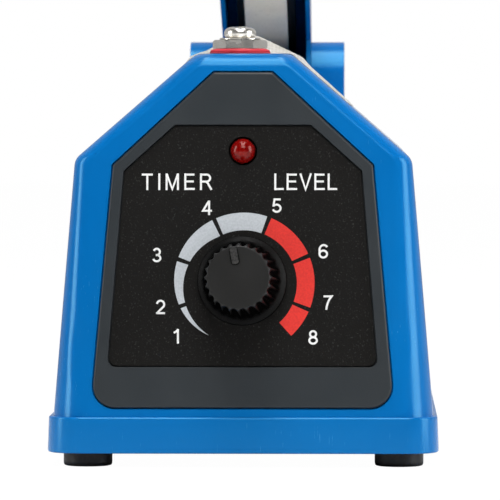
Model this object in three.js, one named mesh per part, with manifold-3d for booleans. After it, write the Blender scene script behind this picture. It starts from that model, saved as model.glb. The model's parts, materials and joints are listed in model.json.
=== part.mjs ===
// Tabletop impulse heat sealer with a hinged press arm, shown with the arm held open by its spring.
// Millimetres, +Z up. The control panel faces -Y and the arm's hinge is at the +Y end.
// The floor is z = 0 and the origin is under the middle of the whole object's footprint.

import * as THREE from "three";
import { mergeVertices } from "three/addons/utils/BufferGeometryUtils.js";
import Module from "manifold-3d";

const wasm = await Module();
wasm.setup();

const DEGREE = Math.PI / 180;
const GAP = 0.3; // clearance between neighbouring pieces
const OVERSHOOT = 1; // how far a cutter runs past the face that it opens

// Whole object: from the knob's face to the back of the coiled lead
const FOOTPRINT_MIDDLE_Y = 34.633;

// Casing
const RIM_HALF_WIDTH = 40;
const RIM_HALF_LENGTH = 146;
const RIM_BOTTOM_Z = 3;
const RIM_TOP_Z = 10.4;
const RIM_CORNER_RADIUS = 7;
const LEDGE = 0.8;
const BODY_HALF_WIDTH = 38.9;
const SHOULDER_HALF_WIDTH = 34.5;
const SHOULDER_Z = 62.8;
const TOP_HALF_WIDTH = 9.7;
const TOP_Z = 84.4;
const BODY_CORNER_RADIUS = 8.2; // at the foot of the body; it shrinks to the next value at the ridge
const RIDGE_CORNER_RADIUS = 4;
const BODY_FILLET = 3;
const END_LEAN = 5 * DEGREE;
const WALL = 2.4;
const BOSS_RADIUS = 4;
const BOSS_TOP_Z = 22;

// Base plate and feet
const PLATE_BOTTOM_Z = 3.4;
const PLATE_TOP_Z = 4.6;
const FOOT_X = 31.9;
const FOOT_Y = 136;
const FOOT_RADIUS = 5;
const FOOT_TOP_Z = 3.1;
const FOOT_PROFILE = [
  [1.9, 1.4], [3.1, 1.4], [3.1, 0], [4.5, 0], [FOOT_RADIUS, 0.5], [FOOT_RADIUS, FOOT_TOP_Z],
  [1.9, FOOT_TOP_Z], [1.9, 1.4],
];
const FOOT_SCREW_PROFILE = [[0, 0.2], [2.5, 0.2], [2.8, 0.5], [2.8, 1.1], [1.6, 1.1], [1.6, 17], [0, 18.2]];
const SCREW_HOLE_RADIUS = 1.9;
const VENT_MIDDLES_Y = [-75, -63, -51, -39, 50, 62, 74];
const VENT_HALF_WIDTH = 14;
const VENT_HALF_LENGTH = 2;

// Control panel, in a frame on the leaning front face with its origin on the knob's axis
const PANEL_Z = 38;
const BEZEL_PROUD = 0.4;
const BEZEL_RECESS = 1.2;
const BEZEL_BACK = 2.4;
const BEZEL_LIP = 3;
const LABEL_FRONT = 0.1;
const LABEL_BACK = 0.5;
const LAMP_HEIGHT = 26.6;
const LAMP_RADIUS = 2.5;
const LAMP_HOLE_RADIUS = 2.9;
const SHAFT_HOLE_RADIUS = 3.8;
const BOARD_FACE = 14.8; // front of the timer board, behind the panel's face
const BOARD_THICKNESS = 1.6;

// Timer knob
const KNOB_GRIP_RADIUS = 6.9;
const KNOB_WAIST_RADIUS = 7.9;
const KNOB_SKIRT_RADIUS = 9.1;
const KNOB_BACK = -1;
const KNOB_FACE = -14.6;
const KNOB_FLUTES = 24;
const FLUTE_DEPTH = 0.45;
const POINTER_ANGLE = 100 * DEGREE;
const SHAFT_RADIUS = 3;

// Transformer: a laminated core with two windows and the coil on its middle leg
const CORE_MIDDLE_Y = -35;
const CORE_HALF_WIDTH = 30;
const CORE_HALF_DEPTH = 17;
const CORE_HEIGHT = 50;
const CORE_WINDOW_FROM_X = 10;
const CORE_WINDOW_TO_X = 20;
const STRAP_THICKNESS = 1.5;
const STRAP_HALF_DEPTH = 9;

// Hinge and press arm. The arm is drawn closed about its pin, then swung open.
const HINGE_Y = 114;
const HINGE_Z = 77.5;
const OPEN_ANGLE = 20 * DEGREE;
const PIN_RADIUS = 2.5;
const PIN_HOLE_RADIUS = 2.8;
const EAR_HALF_WIDTH = 19.5;
const EAR_INNER_X = 11.5;
const EAR_HALF_LENGTH = 11;
const EAR_TOP_Z = 90.3;
const WELL_FRONT = -15;
const WELL_REAR = 18.5;
const ARM_HALF_WIDTH = 11.1;
const ARM_WALL = 1.8;
const ARM_FRONT = -264;
const ARM_TOP = 24;
const ARM_EDGE = 8.5;
const ARM_SCREW_HOLE_RADIUS = 1.8;
const CARRIER_SCREWS_Y = [-210, -40];
const CARRIER_TOP = 21.7;
const HANDLE_SCREW_Y = -257;
const STRIP_HALF_WIDTH = 5.3;
const STRIP_FRONT = -227.5;
const STRIP_REAR = 3;
const ROOF_SLOPE_START = -22;
const TOE = { y: -11, z: -4, radius: 2.5 };
const TAIL = { y: 11, z: -4 };

// Sealing top
const TERMINAL_Y = 127;
const TERMINAL_X = -0.9;
const COVER_FRONT_Y = -120;
const COVER_REAR_Y = 86;
const HEATER_FRONT_Y = -118;
const HEATER_REAR_Y = 84;
const RIBBON_DROP_Y = 90;
const RIBBON_END_Z = 74;
const RIBBON_FRONT_Y = -121.5;
const RIBBON_THICKNESS = 0.15;

// Switch gear under the hinge
const ROD_Y = HINGE_Y + TOE.y - 0.3;
const ROD_TOP_Z = 74.7;
const ROD_BOTTOM_Z = 46;
const ROD_RADIUS = 2;
const ROD_HEAD_RADIUS = 3.4;
const GUIDE_TOP_Z = 60;
const GUIDE_BOTTOM_Z = 52;
const GUIDE_RADIUS = 4.2;
const LEVER_LENGTH = 19;
const LEVER_PIVOT_Z = 41.4;
const LEVER_LIFT = 12.5 * DEGREE;
const SWITCH_TOP_Z = 40.5;
const SWITCH_BOTTOM_Z = 24.5;
const SWITCH_HALF_WIDTH = 5;
const SWITCH_SCREW_Z = SWITCH_BOTTOM_Z + 4;
const SWITCH_SCREW_PITCH = 20;
const BUTTON_OFFSET_Y = 5;

// Power lead
const LEAD_RADIUS = 3.2;
const LEAD_EXIT = { x: 20, z: 18 };
const COIL_RADIUS = 34;
const COIL_CENTRE_Y = 190;
const COIL_PITCH = 6.9;
const COIL_TURNS = 4;
const WIRE_RADIUS = 1;

// ---- materials

function paint(color, roughness, metalness = 0) {
  return new THREE.MeshStandardMaterial({ color, roughness, metalness });
}

const BLUE = paint(0x0a62ae, 0.32);
const SLATE = paint(0x34383b, 0.5);
const BLACK = paint(0x1c1c1b, 0.55);
const LABEL_BLACK = paint(0x232321, 0.6);
const RUBBER = paint(0x161616, 0.8);
const RED_LENS = paint(0x8f0f14, 0.12);
const RED_FIBRE = paint(0xc8323c, 0.6);
const SILICONE = paint(0xa4a5a0, 0.7);
const CREAM_CLOTH = paint(0xe1dcd2, 0.6);
const NICKEL = paint(0xc9c6bd, 0.28, 1);
const STEEL = paint(0xa9acb0, 0.4, 1);
const DARK_STEEL = paint(0x55585c, 0.55, 1);
const BRASS = paint(0xb5924c, 0.35, 1);
const PHENOLIC = paint(0x5a3a22, 0.6);
const GREEN_BOARD = paint(0x2c6b3f, 0.5);
const AMBER_TAPE = paint(0xc99a3a, 0.4);
const RED_WIRE = paint(0xb02a26, 0.5);
const BLUE_RELAY = paint(0x2a5fa8, 0.45);

// ---- geometry helpers

// A closed geometry as a solid that can be joined and cut; its faces are turned outward.
function toSolid(geometry) {
  const bare = geometry.index ? geometry.toNonIndexed() : geometry.clone();
  bare.deleteAttribute("normal");
  bare.deleteAttribute("uv");
  const merged = mergeVertices(bare, 1e-4);
  const vertices = merged.attributes.position.array;
  const kept = [];
  let volume = 0;
  const corner = (i) => new THREE.Vector3().fromArray(vertices, 3 * i);
  for (let i = 0; i < merged.index.count; i += 3) {
    const [a, b, c] = merged.index.array.slice(i, i + 3);
    if (a === b || b === c || c === a) continue;
    kept.push(a, b, c);
    volume += corner(a).cross(corner(b)).dot(corner(c));
  }
  if (volume < 0) kept.reverse();
  const triVerts = new Uint32Array(kept);
  return new wasm.Manifold(new wasm.Mesh({ numProp: 3, vertProperties: vertices, triVerts }));
}

function toGeometry(solid) {
  const mesh = solid.getMesh();
  const geometry = new THREE.BufferGeometry();
  geometry.setAttribute("position", new THREE.BufferAttribute(mesh.vertProperties, mesh.numProp));
  geometry.setIndex(new THREE.BufferAttribute(mesh.triVerts, 1));
  return geometry;
}

function join(...geometries) {
  return toGeometry(geometries.map(toSolid).reduce((whole, part) => whole.add(part)));
}

function cut(geometry, ...cutters) {
  return toGeometry(cutters.map(toSolid).reduce((whole, part) => whole.subtract(part), toSolid(geometry)));
}

function intersect(first, second) {
  return toGeometry(toSolid(first).intersect(toSolid(second)));
}

// A block between two opposite corners.
function block(x0, x1, y0, y1, z0, z1) {
  const box = new THREE.BoxGeometry(x1 - x0, y1 - y0, z1 - z0);
  return box.translate((x0 + x1) / 2, (y0 + y1) / 2, (z0 + z1) / 2);
}

// An upright cylinder with its axis through (x, y).
function post(x, y, z0, z1, radius, sides = 24) {
  const cylinder = new THREE.CylinderGeometry(radius, radius, z1 - z0, sides);
  return cylinder.rotateX(Math.PI / 2).translate(x, y, (z0 + z1) / 2);
}

// A cylinder along X with its axis through (y, z).
function rod(x0, x1, y, z, radius, sides = 24) {
  const cylinder = new THREE.CylinderGeometry(radius, radius, x1 - x0, sides);
  return cylinder.rotateZ(Math.PI / 2).translate((x0 + x1) / 2, y, z);
}

// A turned shape about the vertical axis, from [radius, height] pairs.
function turned(profile, sides = 24) {
  const points = profile.map(([radius, height]) => new THREE.Vector2(radius, height));
  return new THREE.LatheGeometry(points, sides).rotateX(Math.PI / 2);
}

function flat(outline) {
  return outline.map(([a, b]) => new THREE.Vector2(a, b));
}

// The corners of an upright rectangle about x = 0.
function rectangleCorners(halfWidth, low, high) {
  return flat([[-halfWidth, low], [halfWidth, low], [halfWidth, high], [-halfWidth, high]]);
}

// A circle in X and Z.
function circleOutline(x, z, radius, sides = 24) {
  const points = [];
  for (let i = 0; i < sides; i += 1) {
    const angle = (2 * Math.PI * i) / sides;
    points.push(new THREE.Vector2(x + radius * Math.cos(angle), z + radius * Math.sin(angle)));
  }
  return points;
}

// A flat outline in X and Z, extruded along Y.
function extrudeY(outline, y0, y1) {
  const shape = new THREE.Shape(outline);
  const solid = new THREE.ExtrudeGeometry(shape, { depth: y1 - y0, bevelEnabled: false });
  return solid.rotateX(Math.PI / 2).translate(0, y1, 0);
}

// A flat outline in Y and Z, extruded along X.
function extrudeX(outline, x0, x1) {
  const shape = new THREE.Shape(outline);
  const solid = new THREE.ExtrudeGeometry(shape, { depth: x1 - x0, bevelEnabled: false });
  return solid.rotateX(Math.PI / 2).rotateZ(Math.PI / 2).translate(x0, 0, 0);
}

// A flat outline in X and Y, extruded along Z.
function extrudeZ(outline, z0, z1) {
  const shape = new THREE.Shape(outline);
  const solid = new THREE.ExtrudeGeometry(shape, { depth: z1 - z0, bevelEnabled: false });
  return solid.translate(0, 0, z0);
}

// A closed outline with each corner turned into an arc; a radius of 0 keeps the corner sharp.
function roundCorners(corners, radii, steps) {
  const outline = [];
  corners.forEach((corner, i) => {
    if (radii[i] === 0) {
      outline.push(corner.clone());
      return;
    }
    const before = corners[(i + corners.length - 1) % corners.length];
    const after = corners[(i + 1) % corners.length];
    const back = before.clone().sub(corner).normalize();
    const ahead = after.clone().sub(corner).normalize();
    const half = Math.acos(back.dot(ahead)) / 2;
    const middle = back.clone().add(ahead).normalize();
    const centre = corner.clone().addScaledVector(middle, radii[i] / Math.sin(half));
    const reach = radii[i] / Math.tan(half);
    const first = corner.clone().addScaledVector(back, reach).sub(centre);
    const last = corner.clone().addScaledVector(ahead, reach).sub(centre);
    const sweep = Math.atan2(first.cross(last), first.dot(last));
    for (let k = 0; k <= steps; k += 1) {
      const turn = (sweep * k) / steps;
      outline.push(first.clone().rotateAround(new THREE.Vector2(), turn).add(centre));
    }
  });
  return outline;
}

// The corners of a convex outline, counter-clockwise, after every edge moves inward.
function insetCorners(corners, inset) {
  const count = corners.length;
  const edge = (i) => {
    const start = corners[(i + count) % count];
    const along = corners[(i + 1) % count].clone().sub(start).normalize();
    const inward = new THREE.Vector2(-along.y, along.x);
    return { start: start.clone().addScaledVector(inward, inset), along };
  };
  return corners.map((_, i) => {
    const one = edge(i - 1);
    const two = edge(i);
    const offset = two.start.clone().sub(one.start);
    const reach = offset.cross(two.along) / one.along.cross(two.along);
    return one.start.clone().addScaledVector(one.along, reach);
  });
}

// A skin over a stack of rings with the same number of points, closed with a fan at each end.
function loft(rings) {
  const size = rings[0].length;
  const centreOf = (ring) => {
    const sum = ring.reduce((total, point) => total.add(point), new THREE.Vector3());
    return sum.divideScalar(size);
  };
  const points = [...rings.flat(), centreOf(rings[0]), centreOf(rings[rings.length - 1])];
  const faces = [];
  for (let r = 0; r + 1 < rings.length; r += 1) {
    for (let i = 0; i < size; i += 1) {
      const next = (i + 1) % size;
      const low = r * size;
      const high = low + size;
      faces.push(low + i, low + next, high + next, low + i, high + next, high + i);
    }
  }
  const lastRing = (rings.length - 1) * size;
  const bottom = rings.length * size;
  for (let i = 0; i < size; i += 1) {
    const next = (i + 1) % size;
    faces.push(bottom, next, i, bottom + 1, lastRing + i, lastRing + next);
  }
  return new THREE.BufferGeometry().setFromPoints(points).setIndex(faces);
}

// A rounded rectangle at one height.
function rectangleRing(halfWidth, halfLength, radius, z, steps) {
  const corners = flat([
    [-halfWidth, -halfLength],
    [halfWidth, -halfLength],
    [halfWidth, halfLength],
    [-halfWidth, halfLength],
  ]);
  const outline = roundCorners(corners, [radius, radius, radius, radius], steps);
  return outline.map((point) => new THREE.Vector3(point.x, point.y, z));
}

// A round wire along a smooth path through the given points.
function wire(points, radius, sides, steps) {
  const path = new THREE.CatmullRomCurve3(points);
  path.arcLengthDivisions = steps * 4;
  const corners = [];
  for (let i = 0; i < sides; i += 1) {
    const angle = (2 * Math.PI * i) / sides;
    corners.push(new THREE.Vector2(radius * Math.cos(angle), radius * Math.sin(angle)));
  }
  return new THREE.ExtrudeGeometry(new THREE.Shape(corners), { steps, extrudePath: path });
}

// Points of a helix about a vertical axis.
function helix(x, y, z0, z1, radius, startAngle, turns, pointsPerTurn) {
  const count = Math.round(turns * pointsPerTurn);
  const points = [];
  for (let i = 0; i <= count; i += 1) {
    const angle = startAngle + (2 * Math.PI * turns * i) / count;
    const z = z0 + ((z1 - z0) * i) / count;
    points.push(new THREE.Vector3(x + radius * Math.cos(angle), y + radius * Math.sin(angle), z));
  }
  return points;
}

function addPiece(group, name, geometry, material) {
  const mesh = new THREE.Mesh(toGeometry(toSolid(geometry)), material.clone());
  mesh.name = name;
  group.add(mesh);
}

// ---- casing

// Half the body's length at a height, following the lean of its two ends.
function endHalfLength(z) {
  return RIM_HALF_LENGTH - LEDGE - (z - RIM_TOP_Z) * Math.tan(END_LEAN);
}

// The radius of the body's upright corners at a height.
function cornerRadiusAt(z) {
  const share = THREE.MathUtils.clamp((z - RIM_TOP_Z) / (SHOULDER_Z - RIM_TOP_Z), 0, 1);
  return BODY_CORNER_RADIUS + (RIDGE_CORNER_RADIUS - BODY_CORNER_RADIUS) * share;
}

// Half the outline's extent at a height, from a closed outline that is symmetric about the height axis.
function halfExtentAt(outline, z) {
  let extent = 0;
  outline.forEach((point, i) => {
    const next = outline[(i + 1) % outline.length];
    const rise = next.y - point.y;
    const share = Math.abs(rise) < 1e-9 ? 0 : (z - point.y) / rise;
    if (Math.abs(z - point.y) < 1e-9) extent = Math.max(extent, point.x);
    if (rise !== 0 && share >= 0 && share <= 1) {
      extent = Math.max(extent, point.x + (next.x - point.x) * share);
    }
  });
  return extent;
}

// The tapered house shape of the body, inset on every face and open below where it starts under the rim.
function bodyHouse(inset, bottomZ, fillet) {
  const slope = (BODY_HALF_WIDTH - SHOULDER_HALF_WIDTH) / (SHOULDER_Z - RIM_TOP_Z);
  const startZ = bottomZ - inset;
  const startHalfWidth = BODY_HALF_WIDTH + (RIM_TOP_Z - startZ) * slope;
  const front = flat([
    [-startHalfWidth, startZ],
    [startHalfWidth, startZ],
    [SHOULDER_HALF_WIDTH, SHOULDER_Z],
    [TOP_HALF_WIDTH, TOP_Z],
    [-TOP_HALF_WIDTH, TOP_Z],
    [-SHOULDER_HALF_WIDTH, SHOULDER_Z],
  ]);
  const side = flat([
    [-endHalfLength(startZ), startZ],
    [endHalfLength(startZ), startZ],
    [endHalfLength(TOP_Z), TOP_Z],
    [-endHalfLength(TOP_Z), TOP_Z],
  ]);
  const round = [0, 0, fillet, fillet, fillet, fillet];
  const frontOutline = roundCorners(insetCorners(front, inset), round, 3);
  const sideOutline = roundCorners(insetCorners(side, inset), [0, 0, fillet, fillet], 3);
  const heights = [...frontOutline, ...sideOutline].map((point) => Number(point.y.toFixed(3)));
  const levels = [...new Set(heights)].sort((a, b) => a - b);
  const top = levels[levels.length - 1];
  const flatTop = (outline) => {
    const highest = outline.filter((point) => Math.abs(point.y - top) < 1e-2);
    return Math.max(...highest.map((point) => point.x));
  };
  const rings = levels.map((z) => {
    const width = z === top ? flatTop(frontOutline) : halfExtentAt(frontOutline, z);
    const length = z === top ? flatTop(sideOutline) : halfExtentAt(sideOutline, z);
    return rectangleRing(width, length, cornerRadiusAt(z) - inset, z, 3);
  });
  return loft(rings);
}

// The band round the foot of the casing, with both of its edges eased.
function rimBand() {
  const radius = RIM_CORNER_RADIUS;
  return loft([
    rectangleRing(RIM_HALF_WIDTH - 0.4, RIM_HALF_LENGTH - 0.4, radius - 0.4, RIM_BOTTOM_Z, 5),
    rectangleRing(RIM_HALF_WIDTH, RIM_HALF_LENGTH, radius, RIM_BOTTOM_Z + 0.4, 5),
    rectangleRing(RIM_HALF_WIDTH - 0.25, RIM_HALF_LENGTH - 0.25, radius, RIM_TOP_Z - 0.5, 5),
    rectangleRing(RIM_HALF_WIDTH - 0.7, RIM_HALF_LENGTH - 0.7, radius - 0.4, RIM_TOP_Z, 5),
  ]);
}

const PANEL_MATRIX = new THREE.Matrix4()
  .makeRotationX(-END_LEAN)
  .setPosition(0, -endHalfLength(PANEL_Z), PANEL_Z);

// The bezel's six-sided outline, inset on every edge.
function bezelOutline(inset) {
  const corners = flat([
    [-30.8, -25.8],
    [30.8, -25.8],
    [26.5, 23.7],
    [6, 42.7],
    [-6, 42.7],
    [-26.5, 23.7],
  ]);
  const bottomRadius = 4.5 - inset;
  const radii = [bottomRadius, bottomRadius, 0.6, 0.6, 0.6, 0.6];
  return roundCorners(insetCorners(corners, inset), radii, 4);
}

function labelOutline(inset) {
  const corners = flat([
    [-27.3, -17.3],
    [27.3, -17.3],
    [24.1, 22.4],
    [13.8, 31.7],
    [-13.8, 31.7],
    [-24.1, 22.4],
  ]);
  return roundCorners(insetCorners(corners, inset), [1.7, 1.7, 0.4, 0.4, 0.4, 0.4], 3);
}

// One of the two upright ears that carry the hinge pin.
function ear(side) {
  const corners = flat([
    [HINGE_Y - EAR_HALF_LENGTH, 66],
    [HINGE_Y + EAR_HALF_LENGTH, 66],
    [HINGE_Y + EAR_HALF_LENGTH, EAR_TOP_Z],
    [HINGE_Y - EAR_HALF_LENGTH, EAR_TOP_Z],
  ]);
  const outline = roundCorners(corners, [0, 0, 8, 8], 6);
  const from = side > 0 ? EAR_INNER_X : -EAR_HALF_WIDTH;
  return extrudeX(outline, from, from + EAR_HALF_WIDTH - EAR_INNER_X);
}

function footSpots() {
  return [
    ["front_left", -FOOT_X, -FOOT_Y],
    ["front_right", FOOT_X, -FOOT_Y],
    ["rear_left", -FOOT_X, FOOT_Y],
    ["rear_right", FOOT_X, FOOT_Y],
  ];
}

// A screw boss for a foot with a web that ties it to the side wall.
function footBoss(x, y) {
  const wallX = Math.sign(x) * 37.8;
  const web = block(Math.min(x, wallX), Math.max(x, wallX), y - 1, y + 1, PLATE_TOP_Z + GAP, BOSS_TOP_Z);
  return join(post(x, y, PLATE_TOP_Z + GAP, BOSS_TOP_Z, BOSS_RADIUS, 16), web);
}

// The shell with its ears, the push rod's guide on a rib across the inside, and a boss over each foot.
function casing() {
  const outer = join(rimBand(), bodyHouse(0, RIM_BOTTOM_Z + 0.5, BODY_FILLET));
  const cavity = bodyHouse(WALL, RIM_BOTTOM_Z - OVERSHOOT - WALL, 1);
  const recess = extrudeY(bezelOutline(-GAP), -OVERSHOOT, BEZEL_RECESS).applyMatrix4(PANEL_MATRIX);
  const window = extrudeY(bezelOutline(BEZEL_LIP), -OVERSHOOT, WALL + OVERSHOOT);
  window.applyMatrix4(PANEL_MATRIX);
  const hollow = cut(outer, cavity, recess, window);
  const guide = post(0, ROD_Y, GUIDE_BOTTOM_Z, GUIDE_TOP_Z, GUIDE_RADIUS, 20);
  const rib = intersect(
    block(-BODY_HALF_WIDTH, BODY_HALF_WIDTH, ROD_Y - WALL / 2, ROD_Y + WALL / 2, GUIDE_BOTTOM_Z, TOP_Z),
    bodyHouse(WALL / 2, RIM_TOP_Z, 1),
  );
  const bosses = footSpots().map(([, x, y]) => footBoss(x, y));
  const joined = join(hollow, ear(-1), ear(1), guide, rib, ...bosses);
  const well = block(
    -EAR_INNER_X, EAR_INNER_X, HINGE_Y + WELL_FRONT, HINGE_Y + WELL_REAR, GUIDE_TOP_Z, EAR_TOP_Z + OVERSHOOT,
  );
  const ribbonSlot = block(-2, 2, RIBBON_DROP_Y - 2.5, RIBBON_DROP_Y + 1.5, 70, TOP_Z + 5);
  const screwHoles = footSpots().map(([, x, y]) => post(x, y, 0, BOSS_TOP_Z - 2.5, SCREW_HOLE_RADIUS, 12));
  return cut(
    joined,
    well,
    rod(-EAR_HALF_WIDTH - 1, EAR_HALF_WIDTH + 1, HINGE_Y, HINGE_Z, PIN_HOLE_RADIUS),
    post(0, ROD_Y, 40, 70, ROD_RADIUS + GAP, 16),
    extrudeY(circleOutline(LEAD_EXIT.x, LEAD_EXIT.z, 5.6), RIM_HALF_LENGTH - 8, RIM_HALF_LENGTH + 5),
    post(TERMINAL_X, -TERMINAL_Y, 70, TOP_Z + 5, 3.2, 16),
    ribbonSlot,
    ...screwHoles,
  );
}

function addCasing(group) {
  addPiece(group, "body_shell", casing(), BLUE);
}

// ---- base plate and feet

// The steel plate that closes the underside, with vent slots and a tab for the return spring's lower eye.
function basePlate() {
  const ring = rectangleRing(36.6, 142.7, 6, 0, 4);
  const outline = ring.map((point) => new THREE.Vector2(point.x, point.y));
  const plate = extrudeZ(outline, PLATE_BOTTOM_Z, PLATE_TOP_Z);
  const anchor = block(-1, 1, springY() - 4.5, springY() + 4.5, PLATE_BOTTOM_Z + 0.2, 14);
  const anchorHole = rod(-2, 2, springY(), 10, SCREW_HOLE_RADIUS, 12);
  const above = PLATE_TOP_Z + OVERSHOOT;
  const screwHoles = footSpots().map(([, x, y]) => post(x, y, 0, above, SCREW_HOLE_RADIUS, 12));
  const vents = VENT_MIDDLES_Y.map((y) => {
    const ends = [y - VENT_HALF_LENGTH, y + VENT_HALF_LENGTH];
    return block(-VENT_HALF_WIDTH, VENT_HALF_WIDTH, ...ends, 0, above);
  });
  return cut(join(plate, anchor), anchorHole, ...screwHoles, ...vents);
}

function addBase(group) {
  addPiece(group, "base_plate", basePlate(), STEEL);
  footSpots().forEach(([place, x, y]) => {
    addPiece(group, `foot_${place}`, turned(FOOT_PROFILE, 18).translate(x, y, 0), RUBBER);
    addPiece(group, `foot_screw_${place}`, turned(FOOT_SCREW_PROFILE, 12).translate(x, y, 0), STEEL);
  });
}

// ---- control panel

// The holes through the panel for the lamp and for the knob's shaft.
function panelHoles() {
  const back = BEZEL_BACK + OVERSHOOT;
  return [
    extrudeY(circleOutline(0, LAMP_HEIGHT, LAMP_HOLE_RADIUS), -OVERSHOOT, back),
    extrudeY(circleOutline(0, 0, SHAFT_HOLE_RADIUS), -OVERSHOOT, back),
  ];
}

// The bezel's face stands proud of the casing, and a boss behind it fills the casing's window.
function bezel() {
  const ring = (inset, depth) => {
    return bezelOutline(inset).map((point) => new THREE.Vector3(point.x, depth, point.y));
  };
  const face = loft([ring(BEZEL_PROUD, -BEZEL_PROUD), ring(0, 0), ring(0, BEZEL_RECESS - GAP)]);
  const boss = extrudeY(bezelOutline(BEZEL_LIP + GAP), 0, BEZEL_BACK);
  const pocket = extrudeY(labelOutline(-GAP), -OVERSHOOT, LABEL_BACK + GAP);
  return cut(join(face, boss), pocket, ...panelHoles());
}

function labelPlate() {
  return cut(extrudeY(labelOutline(0), LABEL_FRONT, LABEL_BACK), ...panelHoles());
}

// Turned shape whose axis points out of the panel; heights are measured outward.
function panelTurned(profile, sides = 24) {
  return turned(profile, sides).rotateX(Math.PI / 2);
}

// A lamp with a domed lens and two straight leads behind it.
function lamp() {
  const steps = 6;
  const sunk = 0.3;
  const dome = [];
  for (let i = 0; i < steps; i += 1) {
    const angle = (90 * DEGREE * i) / steps;
    dome.push([LAMP_RADIUS * Math.cos(angle), LAMP_RADIUS * Math.sin(angle) - sunk]);
  }
  const body = panelTurned([[0, -5.6], [LAMP_RADIUS, -5.6], ...dome, [0, LAMP_RADIUS - sunk]]);
  const leads = [-1.27, 1.27].map((x) => block(x - 0.25, x + 0.25, 5, 14.5, -0.25, 0.25));
  return join(body, ...leads).translate(0, 0, LAMP_HEIGHT);
}

// The potentiometer's can and threaded bushing, bored for the shaft.
function potentiometer() {
  const body = panelTurned([[0, -12], [8, -12], [8, -BEZEL_BACK - GAP], [0, -BEZEL_BACK - GAP]], 24);
  const bushing = panelTurned([[0, -5], [3.5, -5], [3.5, 2.6], [0, 2.6]], 20);
  const boreRadius = SHAFT_RADIUS + 0.25;
  const bore = panelTurned([[0, -4], [boreRadius, -4], [boreRadius, 5], [0, 5]], 20);
  const tags = [-4, 0, 4].map((x) => block(x - 0.6, x + 0.6, 11, 14, -7.5, -6.5));
  return cut(join(body, bushing, ...tags), bore);
}

// The knob: a plain skirt, a fluted grip and a slot in the face that points at the scale.
function knob() {
  const around = (radius, flute, depth) => {
    const count = KNOB_FLUTES * 2;
    const points = [];
    for (let i = 0; i < count; i += 1) {
      const angle = (2 * Math.PI * i) / count;
      const reach = radius - flute * (0.5 - 0.5 * Math.cos(KNOB_FLUTES * angle));
      points.push(new THREE.Vector3(reach * Math.cos(angle), depth, reach * Math.sin(angle)));
    }
    return points;
  };
  const body = loft([
    around(KNOB_SKIRT_RADIUS - 0.2, 0, KNOB_BACK),
    around(KNOB_SKIRT_RADIUS, 0, KNOB_BACK - 0.3),
    around(KNOB_SKIRT_RADIUS, 0, KNOB_BACK - 1.3),
    around(KNOB_WAIST_RADIUS, 0.1, KNOB_BACK - 2.2),
    around(KNOB_WAIST_RADIUS - 0.15, FLUTE_DEPTH, KNOB_BACK - 3),
    around(KNOB_GRIP_RADIUS, FLUTE_DEPTH, KNOB_FACE + 0.8),
    around(KNOB_GRIP_RADIUS - 0.6, 0, KNOB_FACE),
  ]);
  const nutRoom = extrudeY(circleOutline(0, 0, 6.2), KNOB_BACK - 2.6, 0);
  const bore = extrudeY(circleOutline(0, 0, SHAFT_RADIUS + GAP, 20), KNOB_FACE + 3, 0);
  const pointer = block(-0.45, 0.45, KNOB_FACE - 1, KNOB_FACE + 0.5, 2.9, 7.5);
  pointer.rotateY(90 * DEGREE - POINTER_ANGLE);
  return cut(body, nutRoom, bore, pointer);
}

// The timer board stands behind the potentiometer, parallel to the panel.
function addTimerBoard(panel) {
  const board = block(-24, 24, BOARD_FACE, BOARD_FACE + BOARD_THICKNESS, -22, 22);
  const tagHoles = [-4, 0, 4].map((x) => block(x - 0.9, x + 0.9, BOARD_FACE - 1, BOARD_FACE + 3, -7.8, -6.2));
  addPiece(panel, "timer_board", cut(board, ...tagHoles), GREEN_BOARD);
  const back = BOARD_FACE + BOARD_THICKNESS + GAP;
  addPiece(panel, "timer_relay", block(-20, -1, back, back + 15.5, -18, -3), BLUE_RELAY);
  const can = post(11, 0, 0, 16, 5, 20).rotateX(-Math.PI / 2).translate(0, back, 12);
  addPiece(panel, "timer_capacitor", can, SLATE);
}

function addPanel(group) {
  const panel = new THREE.Group();
  panel.rotation.x = -END_LEAN;
  panel.position.set(0, -endHalfLength(PANEL_Z), PANEL_Z);
  addPiece(panel, "control_bezel", bezel(), SLATE);
  addPiece(panel, "dial_plate", labelPlate(), LABEL_BLACK);
  addPiece(panel, "indicator_lamp", lamp(), RED_LENS);
  addPiece(panel, "potentiometer_body", potentiometer(), STEEL);
  const nut = panelTurned([[4.3, GAP], [5.8, GAP], [5.8, 2.2], [4.3, 2.2], [4.3, GAP]], 6);
  addPiece(panel, "potentiometer_nut", nut, NICKEL);
  const shaft = panelTurned([[0, -3.6], [SHAFT_RADIUS, -3.6], [SHAFT_RADIUS, 11], [0, 11]], 20);
  addPiece(panel, "potentiometer_shaft", shaft, STEEL);
  addPiece(panel, "timer_knob", knob(), BLACK);
  addTimerBoard(panel);
  group.add(panel);
}

// ---- transformer

function transformerCore(bottom) {
  const front = CORE_MIDDLE_Y - CORE_HALF_DEPTH;
  const back = CORE_MIDDLE_Y + CORE_HALF_DEPTH;
  const stack = block(-CORE_HALF_WIDTH, CORE_HALF_WIDTH, front, back, bottom + 1.8, bottom + CORE_HEIGHT);
  const windows = [-CORE_WINDOW_TO_X, CORE_WINDOW_FROM_X].map((x) => {
    const width = CORE_WINDOW_TO_X - CORE_WINDOW_FROM_X;
    return block(x, x + width, front - OVERSHOOT, back + OVERSHOOT, bottom + 11.8, bottom + 40);
  });
  return cut(stack, ...windows);
}

// The taped coil fills the windows and bulges past both faces of the core.
function transformerCoil(bottom) {
  const ring = (z) => rectangleRing(CORE_WINDOW_TO_X - 0.4, CORE_HALF_DEPTH + 11, 3, z, 3);
  const outer = loft([ring(bottom + 12.2), ring(bottom + 39.6)]);
  const halfWidth = CORE_WINDOW_FROM_X + GAP;
  const halfDepth = CORE_HALF_DEPTH + GAP;
  const leg = block(-halfWidth, halfWidth, -halfDepth, halfDepth, bottom, bottom + CORE_HEIGHT);
  return cut(outer, leg).translate(0, CORE_MIDDLE_Y, 0);
}

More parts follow.
